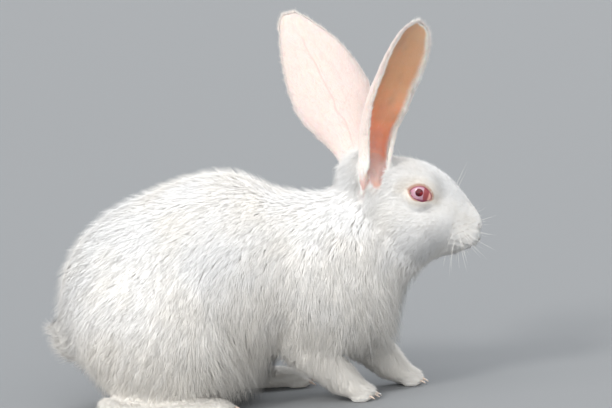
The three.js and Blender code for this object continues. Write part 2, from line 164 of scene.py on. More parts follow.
# How the coat lies. Each guide: its place in mm, which way the hair points there, the hair's length
# and how deep the coat is. All but those on the middle line are mirrored to the left side.
coatGuides = {
    "noseTip": ((163, 0, 128), (-0.5, 0, 1.0), 1.6, 0.5),
    "noseBridge": ((150, 0, 149), (-1, 0, 0.55), 3.2, 1.1),
    "forehead": ((124, 0, 175), (-1, 0, 0.2), 5.0, 1.8),
    "poll": ((88, 0, 180), (-1, 0, -0.2), 6.5, 2.4),
    "upperLip": ((156, -8, 116), (-0.9, -0.3, -0.5), 2.4, 0.9),
    "whiskerPad": ((148, -15, 124), (-1, -0.2, -0.25), 3.0, 1.0),
    "chin": ((140, 0, 104), (-0.9, 0, -0.35), 4.0, 1.5),
    "browSide": ((116, -24, 168), (-1, -0.1, -0.05), 4.0, 1.4),
    "foreEye": ((136, -17, 146), (-1, -0.15, 0.25), 3.2, 1.0),
    "eyeBack": ((104, -28, 154), (-1, -0.1, -0.25), 4.5, 1.5),
    "underEye": ((120, -28, 138), (-1, -0.1, -0.3), 4.5, 1.6),
    "cheek": ((108, -33, 125), (-0.9, 0, -0.6), 7.5, 2.8),
    "jaw": ((120, -16, 103), (-0.6, 0, -0.8), 8.0, 3.0),
    "earRoot": ((80, -24, 160), (-0.5, -0.1, -0.9), 8.0, 2.8),
    "throat": ((108, 0, 92), (0.25, 0, -1), 15.0, 3.7),
    "neckSide": ((80, -38, 122), (-0.15, 0, -1), 15.0, 3.7),
    "nape": ((62, 0, 166), (-1, 0, -0.35), 12.0, 2.9),
    "napeSide": ((58, -30, 148), (-0.6, -0.1, -0.8), 13.0, 3.1),
    "breast": ((100, 0, 74), (0.12, 0, -1), 20.0, 4.7),
    "breastSide": ((86, -30, 82), (0.1, 0, -1), 19.0, 4.7),
    "shoulder": ((50, -50, 98), (-0.12, 0, -1), 18.0, 4.3),
    "withers": ((20, 0, 152), (-1, 0, 0.1), 13.0, 3.0),
    "withersSide": ((15, -36, 136), (-0.7, -0.1, -0.7), 15.0, 3.3),
    "ribs": ((5, -58, 95), (-0.3, 0, -0.95), 19.0, 4.5),
    "ribsLow": ((20, -48, 55), (-0.05, 0, -1), 26.0, 5.6),
    "belly": ((5, 0, 42), (-0.4, 0, -0.9), 20.0, 5.2),
    "loinTop": ((-50, 0, 167), (-1, 0, 0), 13.0, 2.9),
    "loinSide": ((-45, -48, 140), (-0.75, -0.1, -0.65), 15.0, 3.3),
    "flank": ((-45, -64, 105), (-0.45, 0, -0.9), 18.0, 4.1),
    "rumpTop": ((-110, 0, 152), (-0.9, 0, -0.45), 14.0, 3.1),
    "rumpSide": ((-115, -50, 120), (-0.65, 0, -0.75), 15.0, 3.5),
    "rumpBack": ((-158, 0, 98), (-0.3, 0, -1), 15.0, 3.5),
    "haunch": ((-90, -76, 75), (-0.5, 0, -0.87), 16.0, 3.7),
    "haunchFront": ((-36, -62, 50), (0.3, 0, -1), 24.0, 5.6),
    "haunchLow": ((-85, -68, 25), (-0.45, 0, -0.85), 16.0, 3.1),
    "haunchBack": ((-140, -46, 55), (-0.45, 0, -0.9), 15.0, 3.5),
    "seat": ((-110, 0, 15), (-1, 0, -0.2), 10.0, 2.5),
    "armBack": ((30, -28, 50), (-0.4, 0, -0.9), 17.0, 3.1),
}
# The coat's length and depth in mm on the limbs, where it follows the limb and not the guides,
# and where it lies closest
limbCoat = {"foreleg": (8.0, 2.6), "hind_foot": (6.0, 1.8), "tail": (14.0, 3.4)}
closeCoat = {"paw": (3.6, 0.9), "ear": (3.4, 0.45), "earFloor": (3.4, 0.6), "eye": (2.2, 0.25)}
soleShare = 0.85                  # how much of its depth the coat loses where an animal stands


def linkMesh(name, mesh):
    piece = bpy.data.objects.new(name, mesh)
    bpy.context.scene.collection.objects.link(piece)
    return piece


def evaluated(piece):
    graph = bpy.context.evaluated_depsgraph_get()
    return bpy.data.meshes.new_from_object(piece.evaluated_get(graph), depsgraph=graph)


def getPoints(mesh):
    points = np.empty(len(mesh.vertices) * 3, np.float32)
    mesh.vertices.foreach_get("co", points)
    return points.reshape(-1, 3).astype(float)


def setPoints(mesh, points):
    mesh.vertices.foreach_set("co", points.astype(np.float32).ravel())
    mesh.update()


def getNormals(mesh):
    normals = np.empty(len(mesh.vertices) * 3, np.float32)
    mesh.vertex_normals.foreach_get("vector", normals)
    return normals.reshape(-1, 3).astype(float)


def unit(vectors):
    return vectors / np.maximum(np.linalg.norm(vectors, axis=-1, keepdims=True), 1e-9)


# The neighbours of every point, in rows that one reduceat call adds up
def neighbourRows(mesh):
    ends = np.empty(len(mesh.edges) * 2, np.int32)
    mesh.edges.foreach_get("vertices", ends)
    ends = ends.reshape(-1, 2)
    here = np.concatenate([ends[:, 0], ends[:, 1]])
    there = np.concatenate([ends[:, 1], ends[:, 0]])
    order = np.argsort(here, kind="stable")
    count = np.bincount(here, minlength=len(mesh.vertices))
    return there[order], np.concatenate([[0], np.cumsum(count)[:-1]]), count


def averaged(values, rows, rounds, share=1.0):
    there, starts, count = rows
    for _ in range(rounds):
        mean = np.add.reduceat(values[there], starts, axis=0) / count.reshape(-1, *[1] * (values.ndim - 1))
        values = values + (mean - values) * share
    return values


# One closed surface round all the flesh nodes, and a tree that tells which node is nearest
def wrapFlesh():
    bm = bmesh.new()
    corners, faces, owners = [], [], []
    for index, name in enumerate(fleshNodes):
        part = bmesh.new()
        part.from_mesh(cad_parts[name].data)
        bmesh.ops.remove_doubles(part, verts=part.verts, dist=1e-6)
        part.normal_update()
        first = len(corners)
        corners += [v.co.copy() for v in part.verts]
        faces += [[first + v.index for v in f.verts] for f in part.faces]
        owners += [index] * len(part.faces)
        for v in part.verts:
            v.co += v.normal * skinShape["grow"]
        grown = bpy.data.meshes.new("grown")
        part.to_mesh(grown)
        part.free()
        bm.from_mesh(grown)
        bpy.data.meshes.remove(grown)
    mesh = bpy.data.meshes.new("skin")
    bm.to_mesh(mesh)
    bm.free()
    skin = linkMesh("skin", mesh)
    remesh = skin.modifiers.new("remesh", "REMESH")
    remesh.mode = "VOXEL"
    remesh.voxel_size = skinShape["voxel"]
    wrapped = evaluated(skin)
    skin.modifiers.clear()
    skin.data = keepLargest(wrapped)
    return skin, BVHTree.FromPolygons(corners, faces), np.array(owners)


# Drops the scraps that the gaps between the nodes leave inside
def keepLargest(mesh):
    there, starts, count = neighbourRows(mesh)
    label = np.arange(len(mesh.vertices))
    while True:
        lowest = np.minimum(label, np.minimum.reduceat(label[there], starts))
        lowest = lowest[lowest]
        if (lowest == label).all():
            break
        label = lowest
    main = np.bincount(label).argmax()
    bm = bmesh.new()
    bm.from_mesh(mesh)
    bm.verts.ensure_lookup_table()
    bmesh.ops.delete(bm, geom=[bm.verts[i] for i in np.flatnonzero(label != main)], context="VERTS")
    bm.to_mesh(mesh)
    bm.free()
    return mesh


# Which way the hair lies, its length and the coat's depth at every point, from the guides
def comb(points):
    rows = []
    for place, lie, length, depth in coatGuides.values():
        rows.append((place, lie, length, depth))
        if place[1]:
            rows.append(((place[0], -place[1], place[2]), (lie[0], -lie[1], lie[2]), length, depth))
    places = np.array([r[0] for r in rows], float) * mm
    values = np.array([(*unit(np.array(r[1], float)), r[2], r[3]) for r in rows])
    blended = np.zeros((len(points), 5))
    total = np.zeros((len(points), 1))
    for place, value in zip(places, values):
        away = ((points - place) ** 2).sum(1)
        weight = (1 / (away + (6 * mm) ** 2) ** 2.5)[:, None]
        blended += weight * value
        total += weight
    return blended / total


# The ears as curled blades: middle, half the width between the rims and depth of the cup, root to
# tip, where the cup faces at the root and from half way up, in degrees about Z from +X, and the
# fleshy fold that closes the cup at its foot
earBlades = {
    "Right": {
        "open": (-75, -34), "pocket": (85, -21, 166),
        "middle": [(81, -13, 158), (85, -17, 180), (88, -20, 205), (97, -21, 230), (106.5, -21, 249),
                   (116.5, -20, 267), (124.5, -19, 277.5), (126.5, -18, 281.5)],
        "half": [7, 8, 13.5, 22, 26, 22, 13.5, 4.5],
        "cup": [18, 18.5, 17.5, 15.5, 13, 10, 5.5, 2.2],
    },
    "Left": {
        "open": (75, 92), "pocket": (78, 21, 166),
        "middle": [(77, 13, 160), (76.5, 17, 177.5), (69.5, 20, 198), (59, 22, 223), (46, 24, 253),
                   (35.5, 25, 274), (29.5, 25, 287.5), (28.5, 25, 292.5)],
        "half": [8, 12.5, 20.5, 29.5, 25.5, 16.5, 9, 5],
        "cup": [22, 23, 18, 14, 11, 8, 4.5, 2],
    },
}
# The bare floor of an ear's foot, in mm: how far it reaches and fades, where its fold lies off the
# pocket, half the fold's size and how far out it starts, and down to which share of the ear
earFoot = {"reach": 18, "fade": (17, 13), "fold": (1.5, 0, 3), "foldHalf": (6.5, 11), "foldFrom": 12,
           "share": (0.8, 0.6)}
# The eyes. Directions are in the side's own sense of Y, and lengths in mm.
eyeShape = {
    "cutFacing": (0.2, 0.96, 0.15),     # where the solids' lids open
    "facing": (0.035, 0.97, -0.22),       # where the skin's lids open
    "gaze": (-0.055, 1.0, 0.11),
    "tilt": -25,
    "front": 9.9,                      # the opening's reach from its middle, along the ball
    "back": 10.2,
    "above": 8.2,
    "below": 2.6,
    "belowBack": 1.5,                  # and what it gains towards the back corner
    "roundness": 1.75,
    "measuredAt": 10.2,                 # from the eye's centre
    "lowerSlide": 1.8,                  # how far the lower lid is drawn up over the ball
    "lidHeight": 1.1,                   # of the lid's edge over the eyeball
    "cornerHeight": 1.0,                # and what it gains at the front corner
    "lidWidth": 4.6,
    "foldAt": 2.9,
    "foldDepth": 0.28,
}


def blend(values, at):
    values = np.array(values, float)
    steps = np.linspace(0, 1, len(values))
    if values.ndim == 1:
        return np.interp(at, steps, values)
    return np.stack([np.interp(at, steps, column) for column in values.T], -1)


# For points on an ear: how far up (0 to 1), how far across (-1 to 1 from rim to rim), and how
# far they stand behind the middle of the wall, in metres
def onEar(points, side):
    blade = earBlades[side]
    along = np.linspace(0, 1, 81)
    middle = blend(blade["middle"], along) * mm
    upwards = unit(np.gradient(middle, axis=0))
    facing = np.radians(np.interp(along, (0, 0.5, 1), (*blade["open"], blade["open"][1])))
    front = np.stack([np.cos(facing), np.sin(facing), 0 * facing], -1)
    front = unit(front - upwards * (front * upwards).sum(1, keepdims=True))
    rim = np.cross(upwards, front)
    away = ((points[:, None] - middle[None]) ** 2).sum(2)
    slope = np.abs(((points[:, None] - middle[None]) * upwards[None]).sum(2))
    nearest = (away + 3 * slope ** 2).argmin(1)
    half, cup = blend(blade["half"], along) * mm, blend(blade["cup"], along) * mm
    radius = (half ** 2 + cup ** 2) / (2 * cup)
    centre = middle + front * (radius - cup / 2)[:, None]
    reach = points - centre[nearest]
    sideways = (reach * rim[nearest]).sum(1)
    forwards = (reach * front[nearest]).sum(1)
    bend = 2 * np.arctan(cup / half)[nearest]
    across = np.arctan2(sideways, -forwards) / bend
    behind = np.hypot(sideways, forwards) - radius[nearest]
    return along[nearest], across, behind, upwards[nearest], front[nearest]


def eyeFrame(side):
    low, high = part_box("eye_" + side.lower())
    sign = sideSign[side]
    turned = {}
    for key in ("cutFacing", "facing", "gaze"):
        x, y, z = eyeShape[key]
        turned[key] = Vector((x, sign * y, z)).normalized()
    facing = turned["facing"]
    tilt = math.radians(eyeShape["tilt"])
    corner = Vector((math.cos(tilt), 0, math.sin(tilt)))
    corner = (corner - facing * corner.dot(facing)).normalized()
    up = corner.cross(facing) * sign
    return {"centre": np.array((low + high) / 2), "radius": (high.z - low.z) / 2,
            "corner": np.array(corner), "up": np.array(up), **{k: np.array(v) for k, v in turned.items()}}


eyes = {side: eyeFrame(side) for side in sideSign}


# How far points stand from an eye's centre, along its opening and outside its edge
def onEye(points, eye):
    away = points - eye["centre"]
    distance = np.linalg.norm(away, axis=1)
    along, above = away @ eye["corner"], away @ eye["up"]
    sideways = np.maximum(np.hypot(along, above), 1e-9)
    scale = eyeShape["measuredAt"] * mm * np.arctan2(sideways, away @ eye["facing"]) / sideways
    along, above = along * scale, above * scale
    reach = np.where(along > 0, eyeShape["front"], eyeShape["back"]) * mm
    below = eyeShape["below"] + eyeShape["belowBack"] * smoothStep(1 * mm, -5 * mm, along)
    height = np.where(above > 0, eyeShape["above"], below) * mm
    power = eyeShape["roundness"]
    spread = (np.abs(along / reach) ** power + np.abs(above / height) ** power) ** (1 / power)
    middle = np.hypot(along, above)
    edge = middle / np.maximum(spread, 1e-6)
    return distance, along, above, middle - edge


def smoothStep(low, high, values):
    t = np.clip((values - low) / (high - low), 0, 1)
    return t * t * (3 - 2 * t)


# How much each point belongs to each flesh node, softened over the seams
def shareOut(points, rows, rounds):
    owner = [fleshOwner[fleshTree.find_nearest(p)[2]] for p in points]
    share = np.eye(len(fleshNodes), dtype=np.float32)[owner]
    return averaged(share, rows, rounds)


def shareOf(share, *starts):
    return sum(share[:, i] for i, name in enumerate(fleshNodes) if name.startswith(starts)).astype(float)


def awayFromEyes(points):
    return np.minimum(*[np.linalg.norm(points - eyes[side]["centre"], axis=1) for side in sideSign])


# The coat's length and depth drawn towards those of a close coat, by a share
def trimmed(length, depth, kind, share):
    wantedLength, wantedDepth = closeCoat[kind]
    return length + (wantedLength * mm - length) * share, depth + (wantedDepth * mm - depth) * share


# The coat's guide values at every point, with the ears and limbs laid in
def layCoat(points, normals, share):
    values = comb(points)
    lie, length, depth = values[:, :3], values[:, 3] * mm, values[:, 4] * mm
    for name, (limbLength, limbDepth) in limbCoat.items():
        part = shareOf(share, name)
        if name == "foreleg":
            part = part * smoothStep(48 * mm, 22 * mm, points[:, 2])
        down = np.array([0, 0, -1.0]) if name != "tail" else np.array([-0.3, 0, 1.0])
        toes = smoothStep(20 * mm, 8 * mm, points[:, 2])[:, None] if name != "tail" else 0
        along = unit(down * (1 - toes) + np.array([1.0, 0, -0.25]) * toes)
        lie = lie + (along - lie) * part[:, None]
        length = length + (limbLength * mm - length) * part
        depth = depth + (limbDepth * mm - depth) * part
    paws = shareOf(share, "foreleg", "hind_foot") * smoothStep(14 * mm, 5 * mm, points[:, 2])
    length, depth = trimmed(length, depth, "paw", paws)
    ear, earFront = np.zeros(len(points)), np.zeros((len(points), 3))
    earUp, earAcross, earIn = np.zeros(len(points)), np.zeros(len(points)), np.zeros(len(points))
    for side in sideSign:
        part = shareOf(share, "ear_" + side.lower())
        chosen = np.flatnonzero(part > 0.02)
        along, across, behind, upwards, front = onEar(points[chosen], side)
        weight = part[chosen]
        inside = (normals[chosen] * front).sum(1)
        edge = smoothStep(0.7, 1.0, np.abs(across)) * np.sign(across) * smoothStep(0.12, 0.3, along)
        edge *= 1 - 0.8 * smoothStep(-0.3, 0.3, inside)
        along3d = unit(upwards + np.cross(upwards, front) * edge[:, None])
        lie[chosen] += (along3d - lie[chosen]) * weight[:, None]
        blade = smoothStep(-0.05, 0.14, along) * weight
        length[chosen], depth[chosen] = trimmed(length[chosen], depth[chosen], "ear", blade)
        ear[chosen] = np.maximum(ear[chosen], weight)
        earUp[chosen], earAcross[chosen], earFront[chosen] = along, across, front
        inward = smoothStep(-0.15, 0.3, inside) * (np.abs(across) < 1.2)
        earIn[chosen] = inward * smoothStep(0.05, 0.5, weight) * smoothStep(0.6 * mm, -0.4 * mm, behind)
        low, high = (np.array(place) + (3, 6 * sideSign[side], 2)
                     for place in earBlades[side]["middle"][:2])
        stations = [(low + (high - low) * t) * mm for t in (0, 0.5, 1)]
        reach = np.min([np.linalg.norm(points - station, axis=1) for station in stations], axis=0)
        floor = np.flatnonzero((part <= earFoot["share"][0]) & (reach < earFoot["reach"] * mm))
        along, across, behind, upwards, front = onEar(points[floor], side)
        cup = smoothStep(0.4 * mm, -1.5 * mm, behind) * smoothStep(1.15, 0.95, np.abs(across))
        cup = cup * (along < 0.3)
        cup *= smoothStep(*(value * mm for value in earFoot["fade"]), reach[floor])
        fold = (points[floor] - np.array(earBlades[side]["pocket"]) * mm) / mm - earFoot["fold"]
        wide, tall = earFoot["foldHalf"]
        inwards = points[floor][:, 1] * sideSign[side] < earFoot["foldFrom"] * mm
        fold = np.hypot(fold[:, 0] / wide, fold[:, 2] / tall) + 9 * inwards
        cup = np.maximum(cup, smoothStep(1.25, 0.65, fold)) * smoothStep(*earFoot["share"], part[floor])
        ear[floor] = np.maximum(ear[floor], cup)
        earIn[floor] = np.maximum(earIn[floor], cup)
        earUp[floor] += (0.1 - earUp[floor]) * cup
        earAcross[floor] *= 1 - cup
        length[floor], depth[floor] = trimmed(length[floor], depth[floor], "earFloor", cup)
    nearEye = smoothStep(17 * mm, 11.5 * mm, awayFromEyes(points))
    length, depth = trimmed(length, depth, "eye", nearEye)
    sole = smoothStep(2.5 * mm, 0.6 * mm, points[:, 2])
    depth = depth * (1 - soleShare * sole)
    lie = unit(lie - normals * (lie * normals).sum(1, keepdims=True))
    return {"lie": lie, "length": length, "depth": depth, "ear": ear,
            "earUp": earUp, "earAcross": earAcross, "earIn": earIn, "earFront": earFront}


# Grooves in the face, in mm: which two axes they are drawn on, the points, the depth and the width, how
# far forward each starts, and how far off the middle
faceLines = {
    "mouth": {"axes": (0, 2), "line": [(141, 116), (146, 113.5), (152, 111), (159, 110)],
              "depth": 1.2, "width": 0.75, "from": 139},
    "philtrum": {"axes": (1, 2), "line": [(0, 110.5), (0, 118.5)], "depth": 1.3, "width": 0.7, "from": 145},
    "nostril": {"axes": (1, 2), "line": [(1.9, 119.6), (3.3, 122.2), (5.0, 124.2), (7.0, 125.0)],
                "depth": 2.3, "width": 0.95, "from": 150},
    "earNotch": {"axes": (0, 2), "line": [(93, 181), (91.5, 172), (90.5, 164)],
                 "depth": 1.3, "width": 1.9, "from": 60, "beyond": 16},
    "padCrease": {"axes": (0, 2), "line": [(147, 138), (143.5, 130), (140, 121)],
                  "depth": 0.4, "width": 2.8, "from": 134},
}
# Where the skin is made finer before it is shaped: boxes in mm, and shells round the eyes
fineMuzzle = ((138, -30, 100), (175, 30, 146))
fineEye = (16.5, 12.5)


def gapToLine(flat, line):
    best = np.full(len(flat), 1.0)
    for first, last in zip(line[:-1], line[1:]):
        first, last = np.array(first) * mm, np.array(last) * mm
        run = last - first
        t = np.clip(((flat - first) @ run) / (run @ run), 0, 1)
        best = np.minimum(best, np.linalg.norm(flat - first - t[:, None] * run, axis=1))
    return best


def grooveDepth(points):
    depth, rim = np.zeros(len(points)), np.zeros(len(points))
    mirrored = np.stack([points[:, 0], np.abs(points[:, 1]), points[:, 2]], 1)
    for groove in faceLines.values():
        gap = gapToLine(mirrored[:, groove["axes"]], groove["line"]) / (groove["width"] * mm)
        start = smoothStep(groove["from"] * mm, (groove["from"] + 3) * mm, points[:, 0])
        beyond = groove.get("beyond", -9) * mm
        start = start * smoothStep(beyond, beyond + 3 * mm, mirrored[:, 1])
        depth += groove["depth"] * mm * np.exp(-gap ** 2) * start
        rim += 0.16 * groove["depth"] * mm * np.exp(-((gap - 2.1) / 0.8) ** 2) * start
    return depth, rim


def splitFaces(mesh, chosen):
    bm = bmesh.new()
    bm.from_mesh(mesh)
    bm.verts.ensure_lookup_table()
    edges = [e for e in bm.edges if chosen[e.verts[0].index] and chosen[e.verts[1].index]]
    bmesh.ops.subdivide_edges(bm, edges=edges, cuts=1, use_grid_fill=True)
    bm.to_mesh(mesh)
    bm.free()


def refineFace(mesh):
    low, high = np.array(fineMuzzle) * mm
    for level, reach in enumerate(fineEye):
        points = getPoints(mesh)
        chosen = awayFromEyes(points) < reach * mm
        if level == 0:
            chosen |= ((points > low) & (points < high)).all(1)
        splitFaces(mesh, chosen)


def turnRound(points, centre, axis, angle):
    away, angle = points - centre, angle[:, None]
    turned = away * np.cos(angle) + np.cross(axis, away) * np.sin(angle)
    turned += axis * (away @ axis)[:, None] * (1 - np.cos(angle))
    return np.where(angle > 0, centre + turned, points)


# Turns the lids to where they open, slides the lower one up over the ball, and cuts the opening down to it
def carveEye(points, eye):
    axis = np.cross(eye["cutFacing"], eye["facing"])
    angle = math.asin(np.linalg.norm(axis))
    near = smoothStep(24 * mm, 13 * mm, np.linalg.norm(points - eye["centre"], axis=1))
    points = turnRound(points, eye["centre"], unit(axis), angle * near)
    distance, along, above, outside = onEye(points, eye)
    slide = smoothStep(1 * mm, -2 * mm, above) * smoothStep(9 * mm, 3 * mm, outside) * (distance < 20 * mm)
    slide *= smoothStep(-9 * mm, -4 * mm, along) * eyeShape["lowerSlide"] / eyeShape["measuredAt"]
    points = turnRound(points, eye["centre"], eye["corner"] * np.sign(eye["facing"][1]), slide)
    distance, along, above, outside = onEye(points, eye)
    base = eye["radius"] - 0.25 * mm
    height = (eyeShape["lidHeight"] + eyeShape["cornerHeight"] * smoothStep(5.7 * mm, 11 * mm, along)) * mm
    outer = smoothStep(base + 0.1 * mm, base + 1.2 * mm, distance)
    lid = height * smoothStep(-0.3 * mm, 0.55 * mm, outside)
    slope = smoothStep(0.3 * mm, eyeShape["lidWidth"] * mm, outside)
    fold = eyeShape["foldDepth"] * mm * np.exp(-((outside / mm - eyeShape["foldAt"]) / 0.55) ** 2)
    fold = fold * smoothStep(-0.5 * mm, 1.5 * mm, above)
    wanted = base + outer * (lid + (distance - base - height) * slope - fold)
    wanted = np.where((outside < 10 * mm) & (distance < 22 * mm), wanted, distance)
    return eye["centre"] + (points - eye["centre"]) * (wanted / distance)[:, None]


def shapeSkin():
    refineFace(skin.data)
    mesh = skin.data
    rows = neighbourRows(mesh)
    rounds = skinShape["rounds"]
    points = getPoints(mesh)
    share = shareOut(points, rows, 14)
    trunk = np.clip(shareOf(share, "rump", "loin", "chest", "neck", "thigh"), 0, 1)[:, None]
    points = averaged(points, rows, 4, 0.7)
    points = averaged(points, rows, rounds["trunk"], trunk ** 1.5)
    socket = smoothStep(26 * mm, 20 * mm, awayFromEyes(points))[:, None]
    points = averaged(points, rows, rounds["socket"], 0.8 * socket)
    setPoints(mesh, points)
    coat = layCoat(points, getNormals(mesh), share)
    steps = skinShape["sinkSteps"]
    for _ in range(steps):
        points = points - getNormals(mesh) * (coat["depth"] / steps)[:, None]
        points = averaged(points, rows, 2, 0.5 * trunk)
        points[:, 2] = np.maximum(points[:, 2], 0.15 * mm)
        setPoints(mesh, points)
    onBlade = np.clip(shareOf(share, "ear"), 0, 1)
    seam = smoothStep(0.05, 0.35, onBlade) * smoothStep(0.97, 0.7, onBlade)
    points = averaged(points, rows, rounds["earSeam"], 0.8 * seam[:, None])
    onTail = shareOf(share, "tail")
    seam = smoothStep(0.01, 0.2, onTail) * smoothStep(1.0, 0.8, onTail)
    points = averaged(points, rows, rounds["tailSeam"], 0.8 * seam[:, None])
    for blade in earBlades.values():
        away = np.linalg.norm(points - np.array(blade["pocket"]) * mm, axis=1)
        pocket = smoothStep(13 * mm, 7 * mm, away)
        points = averaged(points, rows, rounds["pocket"], 0.8 * pocket[:, None])
    setPoints(mesh, points)
    groove, rim = grooveDepth(points)
    points = points - getNormals(mesh) * (groove - rim)[:, None]
    for eye in eyes.values():
        points = carveEye(points, eye)
    near = smoothStep(15 * mm, 12 * mm, awayFromEyes(points))[:, None]
    points = averaged(points, rows, 2, 0.5 * near)
    for eye in eyes.values():
        distance, along, above, outside = onEye(points, eye)
        ring = smoothStep(1.4 * mm, 3.6 * mm, outside) * smoothStep(27 * mm, 20 * mm, distance)
        points = averaged(points, rows, rounds["eyeRing"], 0.8 * ring[:, None])
    setPoints(mesh, points)
    fine = np.clip(shareOf(share, "head", "ear") + 0.4 * shareOf(share, "hind", "fore"), 0, 1)
    low, high = np.array(fineMuzzle) * mm
    kept = (awayFromEyes(points) < 15 * mm) | ((points > low) & (points < high)).all(1)
    levels = np.round(1 - 0.85 * fine, 1)
    levels[kept & (points[:, 0] > 0)] = 0.05
    group = skin.vertex_groups.new(name="coarse")
    for level in np.unique(levels):
        group.add(np.flatnonzero(levels == level).tolist(), float(level), "REPLACE")
    thin = skin.modifiers.new("thin", "DECIMATE")
    thin.vertex_group = "coarse"
    thin.vertex_group_factor = 1.0
    faces = sum(len(p.vertices) - 2 for p in mesh.polygons)
    thin.ratio = skinShape["triangles"] / faces
    reduced = evaluated(skin)
    skin.modifiers.clear()
    skin.vertex_groups.clear()
    skin.data = reduced


# The unwrap of the skin: each group of nodes is seen from six sides, one tile for each, and a
# group's row of tiles is as high as its share
unwrapRows = {
    ("rump", "loin", "chest", "neck", "thigh", "tail"): 0.40,
    ("head",): 0.16,
    ("ear_right",): 0.14,
    ("ear_left",): 0.14,
    ("foreleg", "hind_foot"): 0.16,
}
unwrapMargin = 0.006


def unwrapSkin(share):
    mesh = skin.data
    points = getPoints(mesh)
    corner = np.empty(len(mesh.loops), np.int32)
    mesh.loops.foreach_get("vertex_index", corner)
    total = np.empty(len(mesh.polygons), np.int32)
    mesh.polygons.foreach_get("loop_total", total)
    normals = np.empty(len(mesh.polygons) * 3, np.float32)
    mesh.polygons.foreach_get("normal", normals)
    normals = normals.reshape(-1, 3)
    firstCorner = np.concatenate([[0], np.cumsum(total)[:-1]])
    groups = np.stack([shareOf(share, *names) for names in unwrapRows], 1).argmax(1)
    group = groups[corner[firstCorner]]
    axis = np.abs(normals).argmax(1)
    column = axis * 2 + (normals[np.arange(len(axis)), axis] > 0)
    group, axis, column = (np.repeat(a, total) for a in (group, axis, column))
    uv = np.zeros((len(corner), 2))
    bottom = 0
    for index, height in enumerate(unwrapRows.values()):
        for side in range(6):
            chosen = np.flatnonzero((group == index) & (column == side))
            if len(chosen):
                flat = np.delete(points[corner[chosen]], side // 2, axis=1)
                low, high = flat.min(0), flat.max(0)
                place = (flat - low) / (high - low)
                room = np.array([1 / 6, height]) - 2 * unwrapMargin
                uv[chosen] = np.array([side / 6, bottom]) + unwrapMargin + place * room
        bottom += height
    layer = mesh.uv_layers.new(name="skinUnwrap")
    layer.data.foreach_set("uv", uv.astype(np.float32).ravel())
    return corner[firstCorner]


# Which piece of coat each face carries: named by the nodes below it, and halved by side
coatPieces = {
    "coatHead": ("head",), "coatNeck": ("neck",), "coatChest": ("chest",), "coatLoin": ("loin",),
    "coatRump": ("rump", "tail"), "coatThigh": ("thigh",), "coatLegs": ("foreleg", "hind_foot"),
    "coatEar": ("ear",),
}
pieceNames = [name + side for name in coatPieces for side in sideSign]


def storeOnPoints(mesh, name, values, kind="FLOAT"):
    layer = mesh.attributes.new(name, kind, "POINT")
    key = "vector" if kind == "FLOAT_VECTOR" else "value"
    layer.data.foreach_set(key, np.asarray(values, np.float32).ravel())


# Small dark roots of the whiskers on each side of the muzzle, (X, Z) in mm, and all the whiskers:
# root, direction and how it bends, in the side's own sense of Y, with its length and thickness in mm
follicles = [(152, 128), (148, 127), (144.5, 126), (153.5, 124), (149.5, 122.5), (145.5, 121.5),
             (141.5, 121), (153.5, 119.5), (150, 118), (146.5, 117), (143.5, 129.5), (147.5, 131)]
whiskers = {
    "seed": 11,
    "strong": [((152, 128), (0.80, 0.75, 0.22), 38), ((148, 127), (0.55, 1.0, 0.16), 46),
               ((144.5, 126), (0.25, 1.0, 0.10), 50), ((153.5, 124), (0.85, 0.85, 0.02), 34),
               ((149.5, 122.5), (0.50, 1.0, -0.04), 46), ((145.5, 121.5), (0.12, 1.0, -0.08), 52),
               ((141.5, 121), (-0.2, 1.0, -0.10), 44), ((153.5, 119.5), (0.80, 0.8, -0.30), 30),
               ((150, 118), (0.5, 1.0, -0.45), 36), ((146.5, 117), (0.1, 0.8, -0.80), 36),
               ((143, 117.5), (-0.1, 0.6, -1.0), 34)],
    "fine": [((155, 126), (0.95, 0.55, 0.30), 20), ((155, 122), (0.95, 0.5, -0.10), 18),
             ((152, 115), (0.75, 0.6, -0.75), 18), ((148, 113), (0.4, 0.6, -0.9), 17),
             ((149, 109), (0.55, 0.3, -1.0), 14), ((145, 108), (0.1, 0.35, -1.0), 16),
             ((153, 130), (0.9, 0.6, 0.55), 18), ((150, 132), (0.6, 0.8, 0.5), 20),
             ((141, 112), (-0.1, 0.4, -1.0), 22), ((137, 110), (-0.3, 0.4, -1.0), 18)],
    "brow": [((112, 168), (-0.35, 0.35, 1.0), 20), ((116, 168), (-0.1, 0.4, 1.0), 17),
             ((119, 167), (0.1, 0.5, 1.0), 13), ((146, 152), (0.62, 0.35, 0.9), 24),
             ((110, 141), (-0.35, 1.0, -0.45), 20)],
    "thickness": {"strong": 0.27, "fine": 0.19, "brow": 0.2},
}
# The toes: each foot's middle line and foremost tip in mm, and how its four toes and claws are set
feet = {
    "hindRight": (-54, -27), "hindLeft": (49, 31), "foreRight": (-25, 78), "foreLeft": (25, 116),
}
toeSets = {
    "hind": {"high": 5.4, "spread": 21, "stagger": 5, "fan": 20, "toe": 11, "claw": 9.5, "radius": 1.75},
    "fore": {"high": 5.0, "spread": 17, "stagger": 4, "fan": 20, "toe": 9, "claw": 7.5, "radius": 1.45},
}


# The middle line of every claw of a foot, with the radius along it
def clawPaths(foot):
    lateral, tip = feet[foot]
    toes = toeSets[foot[:4]]
    sign = 1 if foot.endswith("Left") else -1
    along = np.linspace(0, 1, 9)
    paths = []
    for toe in range(4):
        place = toe / 3 - 0.5
        back = toes["stagger"] * (2 * abs(place + 0.12 * sign)) ** 1.5
        turn = math.radians(place * toes["fan"])
        root = np.array([tip - back - toes["toe"] * 0.5,
                         lateral + place * toes["spread"],
                         toes["high"] * 0.95])
        forwards = np.array([math.cos(turn), math.sin(turn), 0])
        line = root + forwards * (along * toes["claw"])[:, None]
        line[:, 2] -= 0.4 * toes["claw"] * along ** 2
        paths.append((line * mm, toes["radius"] * mm * (1 - 0.85 * along ** 1.5)))
    return paths


